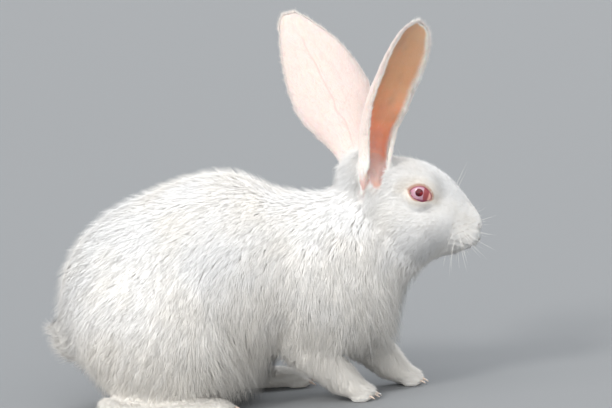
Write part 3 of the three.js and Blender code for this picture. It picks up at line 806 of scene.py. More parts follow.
def nearClaws(points):
    best = np.zeros(len(points))
    low = np.flatnonzero(points[:, 2] < 12 * mm)
    for foot in feet:
        for line, radius in clawPaths(foot):
            gap = np.linalg.norm(points[low][:, None] - line[None, 2:], axis=2).min(1)
            best[low] = np.maximum(best[low], smoothStep(2.8 * mm, 1.9 * mm, gap))
    return best


def nearFollicles(points):
    best = np.zeros(len(points))
    chosen = np.flatnonzero(points[:, 0] > 135 * mm)
    for x, z in follicles:
        gap = np.hypot(points[chosen, 0] - x * mm, points[chosen, 2] - z * mm)
        best[chosen] = np.maximum(best[chosen], smoothStep(0.95 * mm, 0.4 * mm, gap))
    return best


# Where the coat hangs off the body: which way the skin faces there, and how much longer the hair is
# there and on the rims of the ears
hangingCoat = {"facing": (0.6, 0, -0.8), "longer": 0.2, "rimLonger": 0.7}


# What the coat and the materials need to know at every point of the skin
def markSkin():
    mesh = skin.data
    rows = neighbourRows(mesh)
    points, normals = getPoints(mesh), getNormals(mesh)
    share = shareOut(points, rows, 5)
    coat = layCoat(points, normals, share)
    firstOfFace = unwrapSkin(share)
    owner = np.stack([shareOf(share, *names) for names in coatPieces.values()], 1).argmax(1)
    piece = owner * 2 + (points[:, 1] > 0)
    layer = mesh.attributes.new("coatPiece", "INT", "FACE")
    layer.data.foreach_set("value", piece[firstOfFace].astype(np.int32))
    onLid, lidEdge, eyeRing = np.zeros((3, len(points)))
    for eye in eyes.values():
        distance, along, above, outside = onEye(points, eye)
        near = smoothStep(15 * mm, 13.5 * mm, distance) * (distance > 9.25 * mm)
        width = np.where(above > 0, 1.7, 1.4) * mm
        onLid = np.maximum(onLid, near * smoothStep(width + 0.6 * mm, width - 0.4 * mm, outside))
        lidEdge = np.maximum(lidEdge, near * smoothStep(0.75 * mm, 0.1 * mm, outside))
        # Painted shade of the eye's socket: a darker ring round the eye, strongest next to the lids
        ring = smoothStep(8 * mm, 1.5 * mm, outside) * smoothStep(22 * mm, 16 * mm, distance)
        eyeRing = np.maximum(eyeRing, ring)
    groove, _ = grooveDepth(points)
    inNose = smoothStep(0.5 * mm, 1.3 * mm, groove) * smoothStep(115 * mm, 118 * mm, points[:, 2])
    inNose = inNose * np.where(points[:, 0] < 120 * mm, 0.35, 1.0)
    inner, across, earUp = coat["earIn"], np.abs(coat["earAcross"]), coat["earUp"]
    rim = smoothStep(0.76, 0.96, across + 0.2 * smoothStep(0.7, 0.95, earUp))
    rim = rim * smoothStep(0.02, 0.14, earUp)
    rim = np.clip(rim + smoothStep(0.91, 0.965, earUp), 0, 1)
    bareEar = inner * (1 - rim)
    bare = np.clip(onLid + 0.97 * bareEar + nearClaws(points) + 0.9 * inNose, 0, 1)
    longer = hangingCoat["rimLonger"] * rim * coat["ear"] * smoothStep(0.1, 0.3, earUp)
    length = coat["length"] * (1 + longer)
    under = smoothStep(0.15, 0.75, normals @ hangingCoat["facing"])
    under = under * smoothStep(14 * mm, 34 * mm, points[:, 2])
    under *= smoothStep(110 * mm, 90 * mm, points[:, 0]) * shareOf(share, "rump", "loin", "chest", "thigh")
    stored = {
        "hairLength": length * (1 + hangingCoat["longer"] * under),
        "coatDepth": coat["depth"] * (1 + under),
        "thickness": (1 - bare) * (1 + rim * coat["ear"]),
        "earSkin": np.maximum(coat["ear"] * smoothStep(-0.02, 0.1, earUp), inner),
        "earRim": rim, "earInside": inner, "earUp": earUp, "earAcross": coat["earAcross"],
        "eyeRing": eyeRing, "lid": onLid, "lidEdge": lidEdge, "nostril": inNose,
        "follicle": nearFollicles(points),
    }
    for name, values in stored.items():
        storeOnPoints(mesh, name, values)
    outward = unit(averaged(normals, rows, 2))
    flat = coat["earFront"] * np.sign((outward * coat["earFront"]).sum(1))[:, None]
    outward = unit(outward + 2.5 * (rim * coat["ear"])[:, None] * flat)
    storeOnPoints(mesh, "outward", outward, "FLOAT_VECTOR")
    storeOnPoints(mesh, "lie", coat["lie"], "FLOAT_VECTOR")
    earFaces = (stored["earSkin"] > 0.5)[firstOfFace]
    mesh.polygons.foreach_set("material_index", earFaces.astype(np.int32))
    for name in ("coarse", "id"):
        if name in mesh.attributes:
            mesh.attributes.remove(mesh.attributes[name])


# The layers of tufts on each piece: soft locks, finer hair over them, and a few guard hairs that stand
# out. How many on a square centimetre, width and thickness in mm, length and height as shares of the
# guides', and how many times a tuft bends.
tuftLayers = {
    "coatHead": {"hair": (262, 0.57, 0.2, 1.0, 0.95, 1), "guard": (118, 0.42, 0.16, 1.15, 1.7, 1)},
    "coatNeck": {"locks": (28, 2.7, 0.28, 1.0, 0.86, 2), "hair": (48, 1.0, 0.24, 1.05, 1.0, 2),
                 "guard": (28, 0.75, 0.24, 1.0, 2.6, 1)},
    "coatTrunk": {"locks": (27, 2.9, 0.28, 1.0, 0.86, 2), "hair": (46, 1.05, 0.24, 1.05, 1.0, 2),
                  "guard": (28, 0.75, 0.24, 1.0, 2.6, 1)},
    "coatLegs": {"hair": (180, 0.66, 0.26, 1.0, 0.95, 1), "guard": (50, 0.42, 0.2, 1.1, 1.3, 1)},
    "coatEar": {"hair": (172, 0.42, 0.16, 1.0, 1.1, 1), "guard": (70, 0.26, 0.14, 1.15, 2.4, 1)},
}
# How tufts gather into pointed locks: a lock's width in mm, how far it draws its tips together, and how
# round its shading is
lockShapes = {
    "coatHead": (2.6, 0.35, 0.4), "coatNeck": (4.6, 0.42, 0.3), "coatTrunk": (5.0, 0.42, 0.3),
    "coatLegs": (3.0, 0.4, 0.5), "coatEar": (2.0, 0.25, 0.2),
}
coatLook = {
    "seed": 7,
    "patch": 0.003,              # across a tuft's own patch of the map
    "stray": {"locks": 0.06, "hair": 0.12, "guard": 0.22},
    "wrap": {"locks": 0.48, "hair": 0.34, "guard": 0.18},    # how closely a tuft follows the skin below
    "softness": {"locks": 0.95, "hair": 0.9, "guard": 0.35},    # how far its shading follows the skin's
    "earSoftness": 0.1,          # and of that on the ears
    "rush": 3.2,                 # how early it reaches its height
    "guardGather": 1.6,          # how much more than the rest the guard hairs gather
    "swing": 0.9,                # how far the lie wanders over the body, in radians
    "lockTurn": 0.28,            # and from lock to lock
    "lengths": (0.78, 1.12),
    "rises": (0.86, 1.1),
    "curl": 0.08,
}


def newTree(name, inputs):
    tree = bpy.data.node_groups.new(name, "GeometryNodeTree")
    tree.interface.new_socket("Geometry", in_out="INPUT", socket_type="NodeSocketGeometry")
    for title, (kind, value) in inputs.items():
        socket = tree.interface.new_socket(title, in_out="INPUT", socket_type="NodeSocket" + kind)
        if value is not None:
            socket.default_value = value
    tree.interface.new_socket("Geometry", in_out="OUTPUT", socket_type="NodeSocketGeometry")
    return tree


def mathNode(tree, operation, *values):
    return wire(tree, "ShaderNodeMath", dict(enumerate(values)), operation=operation).outputs[0]


def vectorNode(tree, operation, *values):
    keys = (0, "Scale") if operation == "SCALE" else range(len(values))
    return wire(tree, "ShaderNodeVectorMath", dict(zip(keys, values)), operation=operation).outputs[0]


def times(tree, first, second):
    return mathNode(tree, "MULTIPLY", first, second)


def plus(tree, first, second):
    return mathNode(tree, "ADD", first, second)


def minus(tree, first, second):
    return mathNode(tree, "SUBTRACT", first, second)


def scaled(tree, vector, size):
    return vectorNode(tree, "SCALE", vector, size)


def moved(tree, vector, step):
    return vectorNode(tree, "ADD", vector, step)


def split(tree, vector):
    return wire(tree, "ShaderNodeSeparateXYZ", {0: vector}).outputs


def joined(tree, *parts):
    return wire(tree, "ShaderNodeCombineXYZ", dict(enumerate(parts))).outputs[0]


def readNode(tree, name, kind="FLOAT"):
    return wire(tree, "GeometryNodeInputNamedAttribute", {"Name": name}, data_type=kind).outputs[0]


def readVector(tree, name):
    return readNode(tree, name, "FLOAT_VECTOR")


def storeNode(tree, geometry, name, value, kind="FLOAT", domain="POINT"):
    values = {"Geometry": geometry, "Name": name, "Value": value}
    return wire(tree, "GeometryNodeStoreNamedAttribute", values, data_type=kind, domain=domain).outputs[0]


def randomNode(tree, low, high, seed, shift=0):
    if shift:
        seed = plus(tree, seed, shift)
    values = {2: low, 3: high, "Seed": seed}
    return wire(tree, "FunctionNodeRandomValue", values, data_type="FLOAT").outputs[1]


def mixVectors(tree, share, first, second):
    return wire(tree, "ShaderNodeMix", {0: share, 4: first, 5: second}, data_type="VECTOR").outputs[1]


bendInputs = {
    "Width": ("Float", 0.001), "Thickness": ("Float", 0.0005), "Swell": ("Float", 1.0),
    "Sides": ("Int", 3), "Segments": ("Int", 2), "Wrap": ("Float", 0.5), "Softness": ("Float", 0.6),
    "Rush": ("Float", 2.0),
    "Material": ("Material", None),
}
bendMarks = ("tuftRoot", "tuftUp", "tuftLie", "tuftSize", "tuftPull", "tuftLean", "onTuft")


# Puts a unit cone on every root and bends it: it runs along the lie, follows the skin and rises.
# tuftSize holds the length, the rise and the sideways curl, tuftPull where its lock draws the tip, and
# tuftLean how its shading leans off the lock's middle. Leaves the mesh and how far along it runs.
def bendCones(tree, roots, given, target):
    cone = wire(tree, "GeometryNodeMeshCone",
                {"Vertices": given["Sides"], "Side Segments": given["Segments"], "Radius Top": 0.0,
                 "Radius Bottom": 1.0, "Depth": 1.0}, fill_type="NGON").outputs["Mesh"]
    tufts = wire(tree, "GeometryNodeInstanceOnPoints", {"Points": roots, "Instance": cone}).outputs[0]
    tufts = wire(tree, "GeometryNodeRealizeInstances", {"Geometry": tufts}).outputs[0]
    root = readVector(tree, "tuftRoot")
    place = wire(tree, "GeometryNodeInputPosition").outputs[0]
    tufts = storeNode(tree, tufts, "onTuft", vectorNode(tree, "SUBTRACT", place, root), "FLOAT_VECTOR")
    local = split(tree, readVector(tree, "onTuft"))
    size = split(tree, readVector(tree, "tuftSize"))
    lie = readVector(tree, "tuftLie")
    up = readVector(tree, "tuftUp")
    sideways = vectorNode(tree, "CROSS_PRODUCT", up, lie)
    reach = scaled(tree, lie, times(tree, size[0], local[2]))
    curl = times(tree, times(tree, size[0], size[2]), times(tree, local[2], local[2]))
    centre = moved(tree, moved(tree, root, reach), scaled(tree, sideways, curl))
    drawn = mathNode(tree, "POWER", local[2], 1.4)
    centre = moved(tree, centre, scaled(tree, readVector(tree, "tuftPull"), drawn))
    if target:
        below = wire(tree, "GeometryNodeProximity", {"Target": target, "Sample Position": centre},
                     target_element="FACES").outputs["Position"]
        facing = wire(tree, "GeometryNodeSampleNearestSurface", data_type="FLOAT_VECTOR")
        for socket, value in (("Mesh", target), ("Sample Position", centre),
                              ("Value", readVector(tree, "outward"))):
            tree.links.new(value, facing.inputs[socket])
        centre = mixVectors(tree, given["Wrap"], centre, below)
        up = vectorNode(tree, "NORMALIZE", mixVectors(tree, given["Wrap"], up, facing.outputs[0]))
    swell = plus(tree, minus(tree, 1.0, times(tree, 0.3, given["Swell"])),
                 times(tree, times(tree, 2.0, given["Swell"]), local[2]))
    left = mathNode(tree, "POWER", minus(tree, 1.0, local[2]), given["Rush"])
    ride = times(tree, size[1], minus(tree, 1.0, left))
    sunk = times(tree, -0.0005, minus(tree, 1.0, local[2]))
    deep = times(tree, given["Thickness"], times(tree, local[0], swell))
    height = plus(tree, plus(tree, ride, sunk), deep)
    wide = times(tree, given["Width"], times(tree, local[1], swell))
    bent = vectorNode(tree, "SUBTRACT", moved(tree, centre, scaled(tree, up, height)),
                      scaled(tree, sideways, wide))
    parts = split(tree, bent)
    lifted = mathNode(tree, "MAXIMUM", parts[2], 0.0002)
    bent = joined(tree, parts[0], parts[1], lifted)
    tufts = wire(tree, "GeometryNodeSetPosition", {"Geometry": tufts, "Position": bent}).outputs[0]
    tufts = storeNode(tree, tufts, "along", local[2])
    lean = scaled(tree, readVector(tree, "tuftLean"), mathNode(tree, "SQRT", local[2]))
    tufts = storeNode(tree, tufts, "softNormal", moved(tree, up, lean), "FLOAT_VECTOR")
    return tufts, local


# Smooth shading that leans towards the skin's, the marks taken off again, and the material
def dressTufts(tree, tufts, given, marks):
    tufts = wire(tree, "GeometryNodeSetShadeSmooth", {"Geometry": tufts}).outputs[0]
    own = wire(tree, "GeometryNodeInputNormal").outputs[0]
    soft = vectorNode(tree, "NORMALIZE", readVector(tree, "softNormal"))
    soft = mixVectors(tree, given["Softness"], own, soft)
    shade = wire(tree, "GeometryNodeSetMeshNormal", {"Mesh": tufts}, mode="FREE", domain="POINT")
    tree.links.new(vectorNode(tree, "NORMALIZE", soft), shade.inputs["Custom Normal"])
    tufts = shade.outputs[0]
    for name in bendMarks + marks + ("softNormal",):
        tufts = wire(tree, "GeometryNodeRemoveAttribute", {"Geometry": tufts, "Name": name}).outputs[0]
    values = {"Geometry": tufts, "Material": given["Material"]}
    tufts = wire(tree, "GeometryNodeSetMaterial", values).outputs[0]
    leave = tree.nodes.new("NodeGroupOutput")
    tree.links.new(tufts, leave.inputs[0])


# Tufts over one piece of the skin
def makeTuftTree():
    tree = newTree("tufts", {
        "Piece": ("Int", 0), "Tufts per Square Metre": ("Float", 1.0), "Seed": ("Int", 0),
        "Length": ("Float", 1.0), "Lift": ("Float", 1.0), "Stray": ("Float", 0.1),
        "Gather": ("Float", 0.5), "Gather Size": ("Float", 0.005), "Roundness": ("Float", 1.0),
        "Patch": ("Float", 0.003), **bendInputs,
    })
    enter = tree.nodes.new("NodeGroupInput")
    given = {socket.name: socket for socket in enter.outputs}
    seed = given["Seed"]
    same = wire(tree, "FunctionNodeCompare", {2: readNode(tree, "coatPiece", "INT"), 3: given["Piece"]},
                data_type="INT", operation="EQUAL").outputs[0]
    density = times(tree, given["Tufts per Square Metre"], readNode(tree, "thickness"))
    roots = wire(tree, "GeometryNodeDistributePointsOnFaces",
                 {"Mesh": given["Geometry"], "Selection": same, "Density": density, "Seed": seed},
                 distribute_method="RANDOM").outputs["Points"]
    up = vectorNode(tree, "NORMALIZE", readVector(tree, "outward"))
    place = wire(tree, "GeometryNodeInputPosition").outputs[0]
    scale = mathNode(tree, "DIVIDE", 1.0, given["Gather Size"])
    lock = wire(tree, "ShaderNodeTexVoronoi", {"Vector": place, "Scale": scale}).outputs
    own = split(tree, lock["Color"])
    away = vectorNode(tree, "SUBTRACT", lock["Position"], place)
    over = wire(tree, "ShaderNodeVectorMath", {0: away, 1: up}, operation="DOT_PRODUCT").outputs["Value"]
    away = vectorNode(tree, "SUBTRACT", away, scaled(tree, up, over))
    pull = scaled(tree, away, given["Gather"])
    lean = scaled(tree, away, times(tree, times(tree, scale, -1.0), given["Roundness"]))
    noise = wire(tree, "ShaderNodeTexNoise",
                 {"Vector": place, "Scale": times(tree, scale, 0.3), "Detail": 1.0})
    drift = split(tree, noise.outputs["Color"])
    swing = times(tree, minus(tree, drift[0], 0.5), coatLook["swing"])
    swing = plus(tree, swing, times(tree, minus(tree, own[1], 0.5), coatLook["lockTurn"]))
    stray = times(tree, randomNode(tree, -1.0, 1.0, seed), given["Stray"])
    turn = plus(tree, swing, stray)
    lie = wire(tree, "ShaderNodeVectorRotate",
               {"Vector": vectorNode(tree, "NORMALIZE", readVector(tree, "lie")),
                "Axis": up, "Angle": turn}, rotation_type="AXIS_ANGLE").outputs[0]
    length = times(tree, readNode(tree, "hairLength"), given["Length"])
    length = times(tree, length, randomNode(tree, *coatLook["lengths"], seed, 2))
    rise = times(tree, readNode(tree, "coatDepth"), given["Lift"])
    rise = times(tree, rise, randomNode(tree, *coatLook["rises"], seed, 5))
    rise = times(tree, rise, plus(tree, 0.86, times(tree, own[0], 0.24)))
    curl = coatLook["curl"]
    size = joined(tree, length, rise, randomNode(tree, -curl, curl, seed, 9))
    for name, value in (("tuftRoot", place), ("tuftUp", up), ("tuftLie", lie), ("tuftSize", size),
                        ("tuftPull", pull), ("tuftLean", lean),
                        ("rootMap", readVector(tree, "skinUnwrap"))):
        roots = storeNode(tree, roots, name, value, "FLOAT_VECTOR")
    tint = plus(tree, times(tree, own[2], 0.5), randomNode(tree, 0.0, 0.5, seed, 3))
    roots = storeNode(tree, roots, "tint", tint)
    tufts, local = bendCones(tree, roots, given, given["Geometry"])
    onPatch = joined(tree, times(tree, local[0], 0.55), minus(tree, local[2], 0.5))
    patch = moved(tree, readVector(tree, "rootMap"), scaled(tree, onPatch, given["Patch"]))
    tufts = storeNode(tree, tufts, "OFBake", patch, "FLOAT2", "CORNER")
    dressTufts(tree, tufts, given, ("rootMap", "skinUnwrap", "coatPiece", "outward", "lie", "hairLength",
                                    "coatDepth", "thickness"))
    return tree


# The mesh that a tree makes from a piece, with the tree's inputs set by their identifiers
def grown(piece, tree, values):
    modifier = piece.modifiers.new("grow", "NODES")
    modifier.node_group = tree
    for item in tree.interface.items_tree:
        if item.item_type == "SOCKET" and item.in_out == "INPUT" and item.name in values:
            modifier[item.identifier] = values[item.name]
    mesh = evaluated(piece)
    piece.modifiers.remove(modifier)
    return mesh


def makeCoat(material):
    tree = makeTuftTree()
    softness = coatLook["softness"]
    made = []
    triangles = 0
    for index, name in enumerate(pieceNames):
        short = name.replace("Right", "").replace("Left", "")
        layers = tuftLayers.get(short, tuftLayers["coatTrunk"])
        lockWidth, gather, roundness = lockShapes.get(short, lockShapes["coatTrunk"])
        parts = []
        for order, (layer, (perCm2, width, thickness, length, lift, bends)) in enumerate(layers.items()):
            mesh = grown(skin, tree, {
                "Piece": index, "Tufts per Square Metre": perCm2 * 1e4,
                "Seed": coatLook["seed"] + index + 40 * order,
                "Width": width * mm / 2, "Thickness": thickness * mm / 2, "Length": length, "Lift": lift,
                "Stray": coatLook["stray"][layer],
                "Gather": gather * (coatLook["guardGather"] if layer == "guard" else 1),
                "Gather Size": lockWidth * mm,
                "Roundness": roundness, "Wrap": coatLook["wrap"][layer],
                "Swell": 1.0 if bends > 1 else 0.0, "Sides": 3, "Segments": bends,
                "Softness": softness[layer] * (coatLook["earSoftness"] if short == "coatEar" else 1),
                "Rush": coatLook["rush"], "Patch": coatLook["patch"],
                "Material": material,
            })
            parts.append(linkMesh(name, mesh))
        with bpy.context.temp_override(active_object=parts[0], object=parts[0], selected_objects=parts,
                                       selected_editable_objects=parts):
            bpy.ops.object.join()
        count = sum(len(p.vertices) - 2 for p in parts[0].data.polygons)
        triangles += count
        made.append(parts[0])
    report(f"coat grown, {triangles} triangles")
    return made


def makeWhiskerTree():
    tree = newTree("whiskers", dict(bendInputs))
    enter = tree.nodes.new("NodeGroupInput")
    given = {socket.name: socket for socket in enter.outputs}
    roots = wire(tree, "GeometryNodeMeshToPoints", {"Mesh": given["Geometry"]}).outputs[0]
    tufts, _ = bendCones(tree, roots, given, None)
    dressTufts(tree, tufts, given, ())
    return tree


# Whiskers on both sides, of one thickness, rooted where a line from the side meets the skin
def makeWhiskers(name, kind, tree, material, surface):
    rng = np.random.default_rng(whiskers["seed"])
    roots, ups, lies, sizes = [], [], [], []
    for side, sign in sideSign.items():
        for (x, z), (dx, dy, dz), length in whiskers[kind]:
            start = Vector((x * mm, sign * 90 * mm, z * mm))
            hit = surface.ray_cast(start, Vector((0, -sign, 0)))[0]
            if hit is None:
                continue
            spread = rng.normal(0, 0.05, 3)
            lie = Vector((dx + spread[0], sign * dy + spread[1], dz + spread[2])).normalized()
            back = Vector((-0.75, 0, -0.55)) if kind != "brow" else Vector((-0.8, 0, 0.1))
            up = (back - lie * back.dot(lie)).normalized()
            long = length * mm * rng.uniform(0.9, 1.08)
            roots.append(hit - lie * 0.6 * mm)
            ups.append(up)
            lies.append(lie)
            sizes.append((long, long * rng.uniform(0.04, 0.16), rng.uniform(-0.05, 0.05)))
    mesh = bpy.data.meshes.new(name)
    mesh.from_pydata(roots, [], [])
    for title, values in (("tuftRoot", roots), ("tuftUp", ups), ("tuftLie", lies), ("tuftSize", sizes)):
        storeOnPoints(mesh, title, np.array(values), "FLOAT_VECTOR")
    piece = linkMesh(name, mesh)
    width = whiskers["thickness"][kind] * mm / 2
    piece.data = grown(piece, tree, {"Width": width, "Thickness": width, "Swell": 0.0, "Sides": 5,
                                     "Segments": 12, "Wrap": 0.0, "Softness": 0.0, "Material": material})
    return piece


# A closed, tapering tube round a line
def tube(line, radii, sides=14, squash=0.8):
    along = unit(np.gradient(line, axis=0))
    across = unit(np.cross(along, (0, 0, 1.0)))
    over = np.cross(across, along)
    angle = np.linspace(0, 2 * np.pi, sides, endpoint=False)
    ring = np.cos(angle)[None, :, None] * across[:, None] * squash
    ring = ring + np.sin(angle)[None, :, None] * over[:, None]
    points = (line[:, None] + ring * radii[:, None, None]).reshape(-1, 3)
    faces = []
    for row in range(len(line) - 1):
        for k in range(sides):
            a, b = row * sides + k, row * sides + (k + 1) % sides
            faces.append((a, a + sides, b + sides, b))
    last = (len(line) - 1) * sides
    faces.append(tuple(range(sides)))
    faces.append(tuple(reversed(range(last, last + sides))))
    return points, faces


# A smooth closed piece whose faces point outwards
def closedPiece(name, points, faces, material):
    mesh = bpy.data.meshes.new(name)
    mesh.from_pydata(points, [], faces)
    bm = bmesh.new()
    bm.from_mesh(mesh)
    bmesh.ops.recalc_face_normals(bm, faces=bm.faces)
    bm.to_mesh(mesh)
    bm.free()
    mesh.shade_smooth()
    mesh.materials.append(material)
    return linkMesh(name, mesh)


def makeClaws(foot, material):
    points, faces = [], []
    for line, radii in clawPaths(foot):
        more, rings = tube(line, radii)
        faces += [tuple(i + len(points) for i in face) for face in rings]
        points += more.tolist()
    return closedPiece("claws" + foot[0].upper() + foot[1:], points, faces, material)


# The eyeball: a sphere with the cornea's bulge, and the third eyelid drawn up in the front corner
eyeball = {
    "rings": 90, "sectors": 96,
    "corneaRise": 0.8 * mm,
    "irisRadius": 6.9, "pupilRadius": 2.7,      # in mm
    "thirdLidFrom": 1.5, "thirdLidTo": 2.4,      # along the opening, in mm
}


def makeEye(side, material):
    eye = eyes[side]
    gaze = eye["gaze"]
    east = unit(np.cross((0, 0, 1.0), gaze))
    north = np.cross(gaze, east)
    turn = np.linspace(0, np.pi, eyeball["rings"] + 1)[1:-1]
    angle = np.linspace(0, 2 * np.pi, eyeball["sectors"], endpoint=False)
    ring = np.cos(angle)[None, :, None] * east + np.sin(angle)[None, :, None] * north
    rays = (np.cos(turn)[:, None, None] * gaze + np.sin(turn)[:, None, None] * ring).reshape(-1, 3)
    rays = np.concatenate([rays, [gaze, -gaze]])
    radius = eye["radius"]
    sidewards = rays - gaze * (rays @ gaze)[:, None]
    reach = np.linalg.norm(sidewards, axis=1) * radius / mm
    front = rays @ gaze > 0
    rise = eyeball["corneaRise"] * np.clip(1 - (reach / (eyeball["irisRadius"] + 0.5)) ** 2, 0, 1) * front
    points = eye["centre"] + rays * (radius + rise)[:, None]
    distance, along, above, outside = onEye(points, eye)
    bow = 0.035 * (above / mm) ** 2
    leaning = along / mm + 0.4 * above / mm - bow
    third = smoothStep(eyeball["thirdLidFrom"], eyeball["thirdLidTo"], leaning)
    third = third * (rays @ eye["facing"] > 0.1)
    swell = third * (0.35 + 0.85 * smoothStep(4.7, 10.4, along / mm)) * mm
    points += rays * np.maximum(swell - rise, 0)[:, None]
    rings, sectors = eyeball["rings"] - 1, eyeball["sectors"]
    faces = []
    for row in range(rings - 1):
        for k in range(sectors):
            a, b = row * sectors + k, row * sectors + (k + 1) % sectors
            faces.append((a, a + sectors, b + sectors, b))
    top, bottom = rings * sectors, rings * sectors + 1
    for k in range(sectors):
        faces.append((top, k, (k + 1) % sectors))
        last = (rings - 1) * sectors
        faces.append((bottom, last + (k + 1) % sectors, last + k))
    piece = closedPiece("eye" + side, points.tolist(), faces, material)
    onIris = np.stack([sidewards @ east, sidewards @ north, np.zeros(len(rays))], 1) * radius / mm
    storeOnPoints(piece.data, "onIris", onIris * np.where(front, 1, 9)[:, None], "FLOAT_VECTOR")
    for name, values in (("thirdLid", third), ("towardsCorner", along / mm), ("fromEdge", -outside / mm)):
        storeOnPoints(piece.data, name, values)
    return piece


def newMaterial(name, roughness, **sockets):
    material = bpy.data.materials.new(name)
    material.use_nodes = True
    tree = material.node_tree
    shader = tree.nodes["Principled BSDF"]
    shader.inputs["Roughness"].default_value = roughness
    for socket, value in sockets.items():
        shader.inputs[socket].default_value = value
    return material, tree, shader


def attributeNode(tree, name, output="Fac"):
    return wire(tree, "ShaderNodeAttribute", attribute_name=name).outputs[output]


def mixColours(tree, share, first, second):
    return wire(tree, "ShaderNodeMix", {0: share, 6: first, 7: second}, data_type="RGBA").outputs[2]


def stepNode(tree, value, low, high, bottom=0.0, top=1.0):
    return wire(tree, "ShaderNodeMapRange",
                {"Value": value, "From Min": low, "From Max": high, "To Min": bottom, "To Max": top},
                interpolation_type="SMOOTHSTEP").outputs["Result"]


def noiseNode(tree, vector, scale, detail=2.0):
    values = {"Vector": vector, "Scale": scale, "Detail": detail}
    return wire(tree, "ShaderNodeTexNoise", values).outputs["Fac"]


# The animal's own colours, linear, and some that paint in light and shade: the shadow band and the glow of
# light through the ear's inside, the shaded pocket at the ear's foot, the shade round the eyes and the warm
# light thrown up from below
furColours = {
    "cream": (0.93, 0.91, 0.875, 1), "cool": (0.91, 0.915, 0.92, 1), "root": (0.90, 0.88, 0.84, 1),
    "earBack": (0.84, 0.68, 0.635, 1), "earVein": (0.66, 0.25, 0.23, 1),
    "earHigh": (0.60, 0.38, 0.18, 1), "earMiddle": (0.60, 0.28, 0.085, 1), "earLow": (0.86, 0.23, 0.045, 1),
    "earPaintedShade": (0.36, 0.16, 0.06, 1),
    "earRim": (0.93, 0.88, 0.82, 1), "earFootShadedSkin": (0.54, 0.31, 0.27, 1), "paintedGroundGlow": (0.93, 0.885, 0.81, 1),
    "lid": (0.52, 0.32, 0.25, 1), "eyeRing": (0.72, 0.66, 0.58, 1), "lidEdge": (0.42, 0.11, 0.11, 1),
    "nostril": (0.62, 0.32, 0.29, 1), "follicle": (0.42, 0.38, 0.34, 1),
}
# Of these marks the ring round the eye is painted shade
markStrengths = {"eyeRing": 0.8, "lid": 1.0, "lidEdge": 1.0, "nostril": 1.0, "follicle": 0.6}


# The markings, with painted shade and light laid in among them, shared by skin and coat, so that a tuft
# takes the colour of its root
def makeMarkingsAndPaintedShade():
    tree = bpy.data.node_groups.new("markingsAndPaintedShade", "ShaderNodeTree")
    tree.interface.new_socket("Skin Shows", in_out="INPUT", socket_type="NodeSocketFloat")
    tree.interface.new_socket("Colour", in_out="OUTPUT", socket_type="NodeSocketColor")
    shows = tree.nodes.new("NodeGroupInput").outputs[0]
    place = wire(tree, "ShaderNodeTexCoord").outputs["Object"]
    patches = stepNode(tree, noiseNode(tree, place, 16.0), 0.35, 0.65)
    colour = mixColours(tree, patches, furColours["cream"], furColours["cool"])
    height = split(tree, place)[2]
    # Warmer towards the bottom: painted warm light thrown up from the ground
    colour = mixColours(tree, stepNode(tree, height, 0.1, 0.035, 0.0, 0.7), colour, furColours["paintedGroundGlow"])
    up, across = attributeNode(tree, "earUp"), attributeNode(tree, "earAcross")
    onBlade = joined(tree, times(tree, across, 1.6), times(tree, up, 4.5))
    bend = wire(tree, "ShaderNodeTexNoise", {"Vector": onBlade, "Scale": 1.6, "Detail": 2.0})
    bent = moved(tree, onBlade, scaled(tree, bend.outputs["Color"], 0.45))
    cells = wire(tree, "ShaderNodeTexVoronoi", {"Vector": bent, "Scale": 2.2}, feature="DISTANCE_TO_EDGE")
    branches = stepNode(tree, cells.outputs["Distance"], 0.04, 0.0, 0.0, 0.3)
    waver = times(tree, minus(tree, noiseNode(tree, onBlade, 1.2), 0.5), 0.5)
    offset = mathNode(tree, "ABSOLUTE", plus(tree, across, waver))
    trunk = times(tree, stepNode(tree, offset, 0.04, 0.005), stepNode(tree, up, 0.93, 0.6, 0.0, 0.6))
    veins = mathNode(tree, "MAXIMUM", branches, trunk)
    back = mixColours(tree, times(tree, veins, 0.55), furColours["earBack"], furColours["earVein"])
    back = mixColours(tree, stepNode(tree, up, 0.06, 0.3), furColours["cream"], back)
    mottle = noiseNode(tree, place, 90.0, 3.0)
    height = plus(tree, up, times(tree, minus(tree, mottle, 0.5), 0.25))
    # The ear's inside: its pink skin painted orange and red for the glow of light shining through the ear,
    # reddest towards the foot
    inner = stepNode(tree, height, 0.2, 0.5)
    inner = mixColours(tree, inner, furColours["earLow"], furColours["earMiddle"])
    inner = mixColours(tree, stepNode(tree, height, 0.5, 0.9), inner, furColours["earHigh"])
    inner = mixColours(tree, times(tree, veins, 0.4), inner, furColours["earLow"])
    # Painted shadow: a darker band in noisy patches across the ear's inside, fading out towards the tip
    shade = stepNode(tree, noiseNode(tree, place, 42.0, 2.0), 0.42, 0.7, 0.0, 0.55)
    shade = times(tree, shade, stepNode(tree, up, 0.92, 0.7))
    inner = mixColours(tree, shade, inner, furColours["earPaintedShade"])
    # The ear's foot: its pink skin, made darker as painted shade of the pocket it lies in
    inner = mixColours(tree, stepNode(tree, height, 0.04, 0.34), furColours["earFootShadedSkin"], inner)
    inner = mixColours(tree, attributeNode(tree, "earRim"), inner, furColours["earRim"])
    ear = mixColours(tree, attributeNode(tree, "earInside"), back, inner)
    share = times(tree, attributeNode(tree, "earSkin"), shows)
    colour = mixColours(tree, share, colour, ear)
    for name, most in markStrengths.items():
        strength = times(tree, attributeNode(tree, name), most)
        colour = mixColours(tree, strength, colour, furColours[name])
    leave = tree.nodes.new("NodeGroupOutput")
    tree.links.new(colour, leave.inputs[0])
    return tree


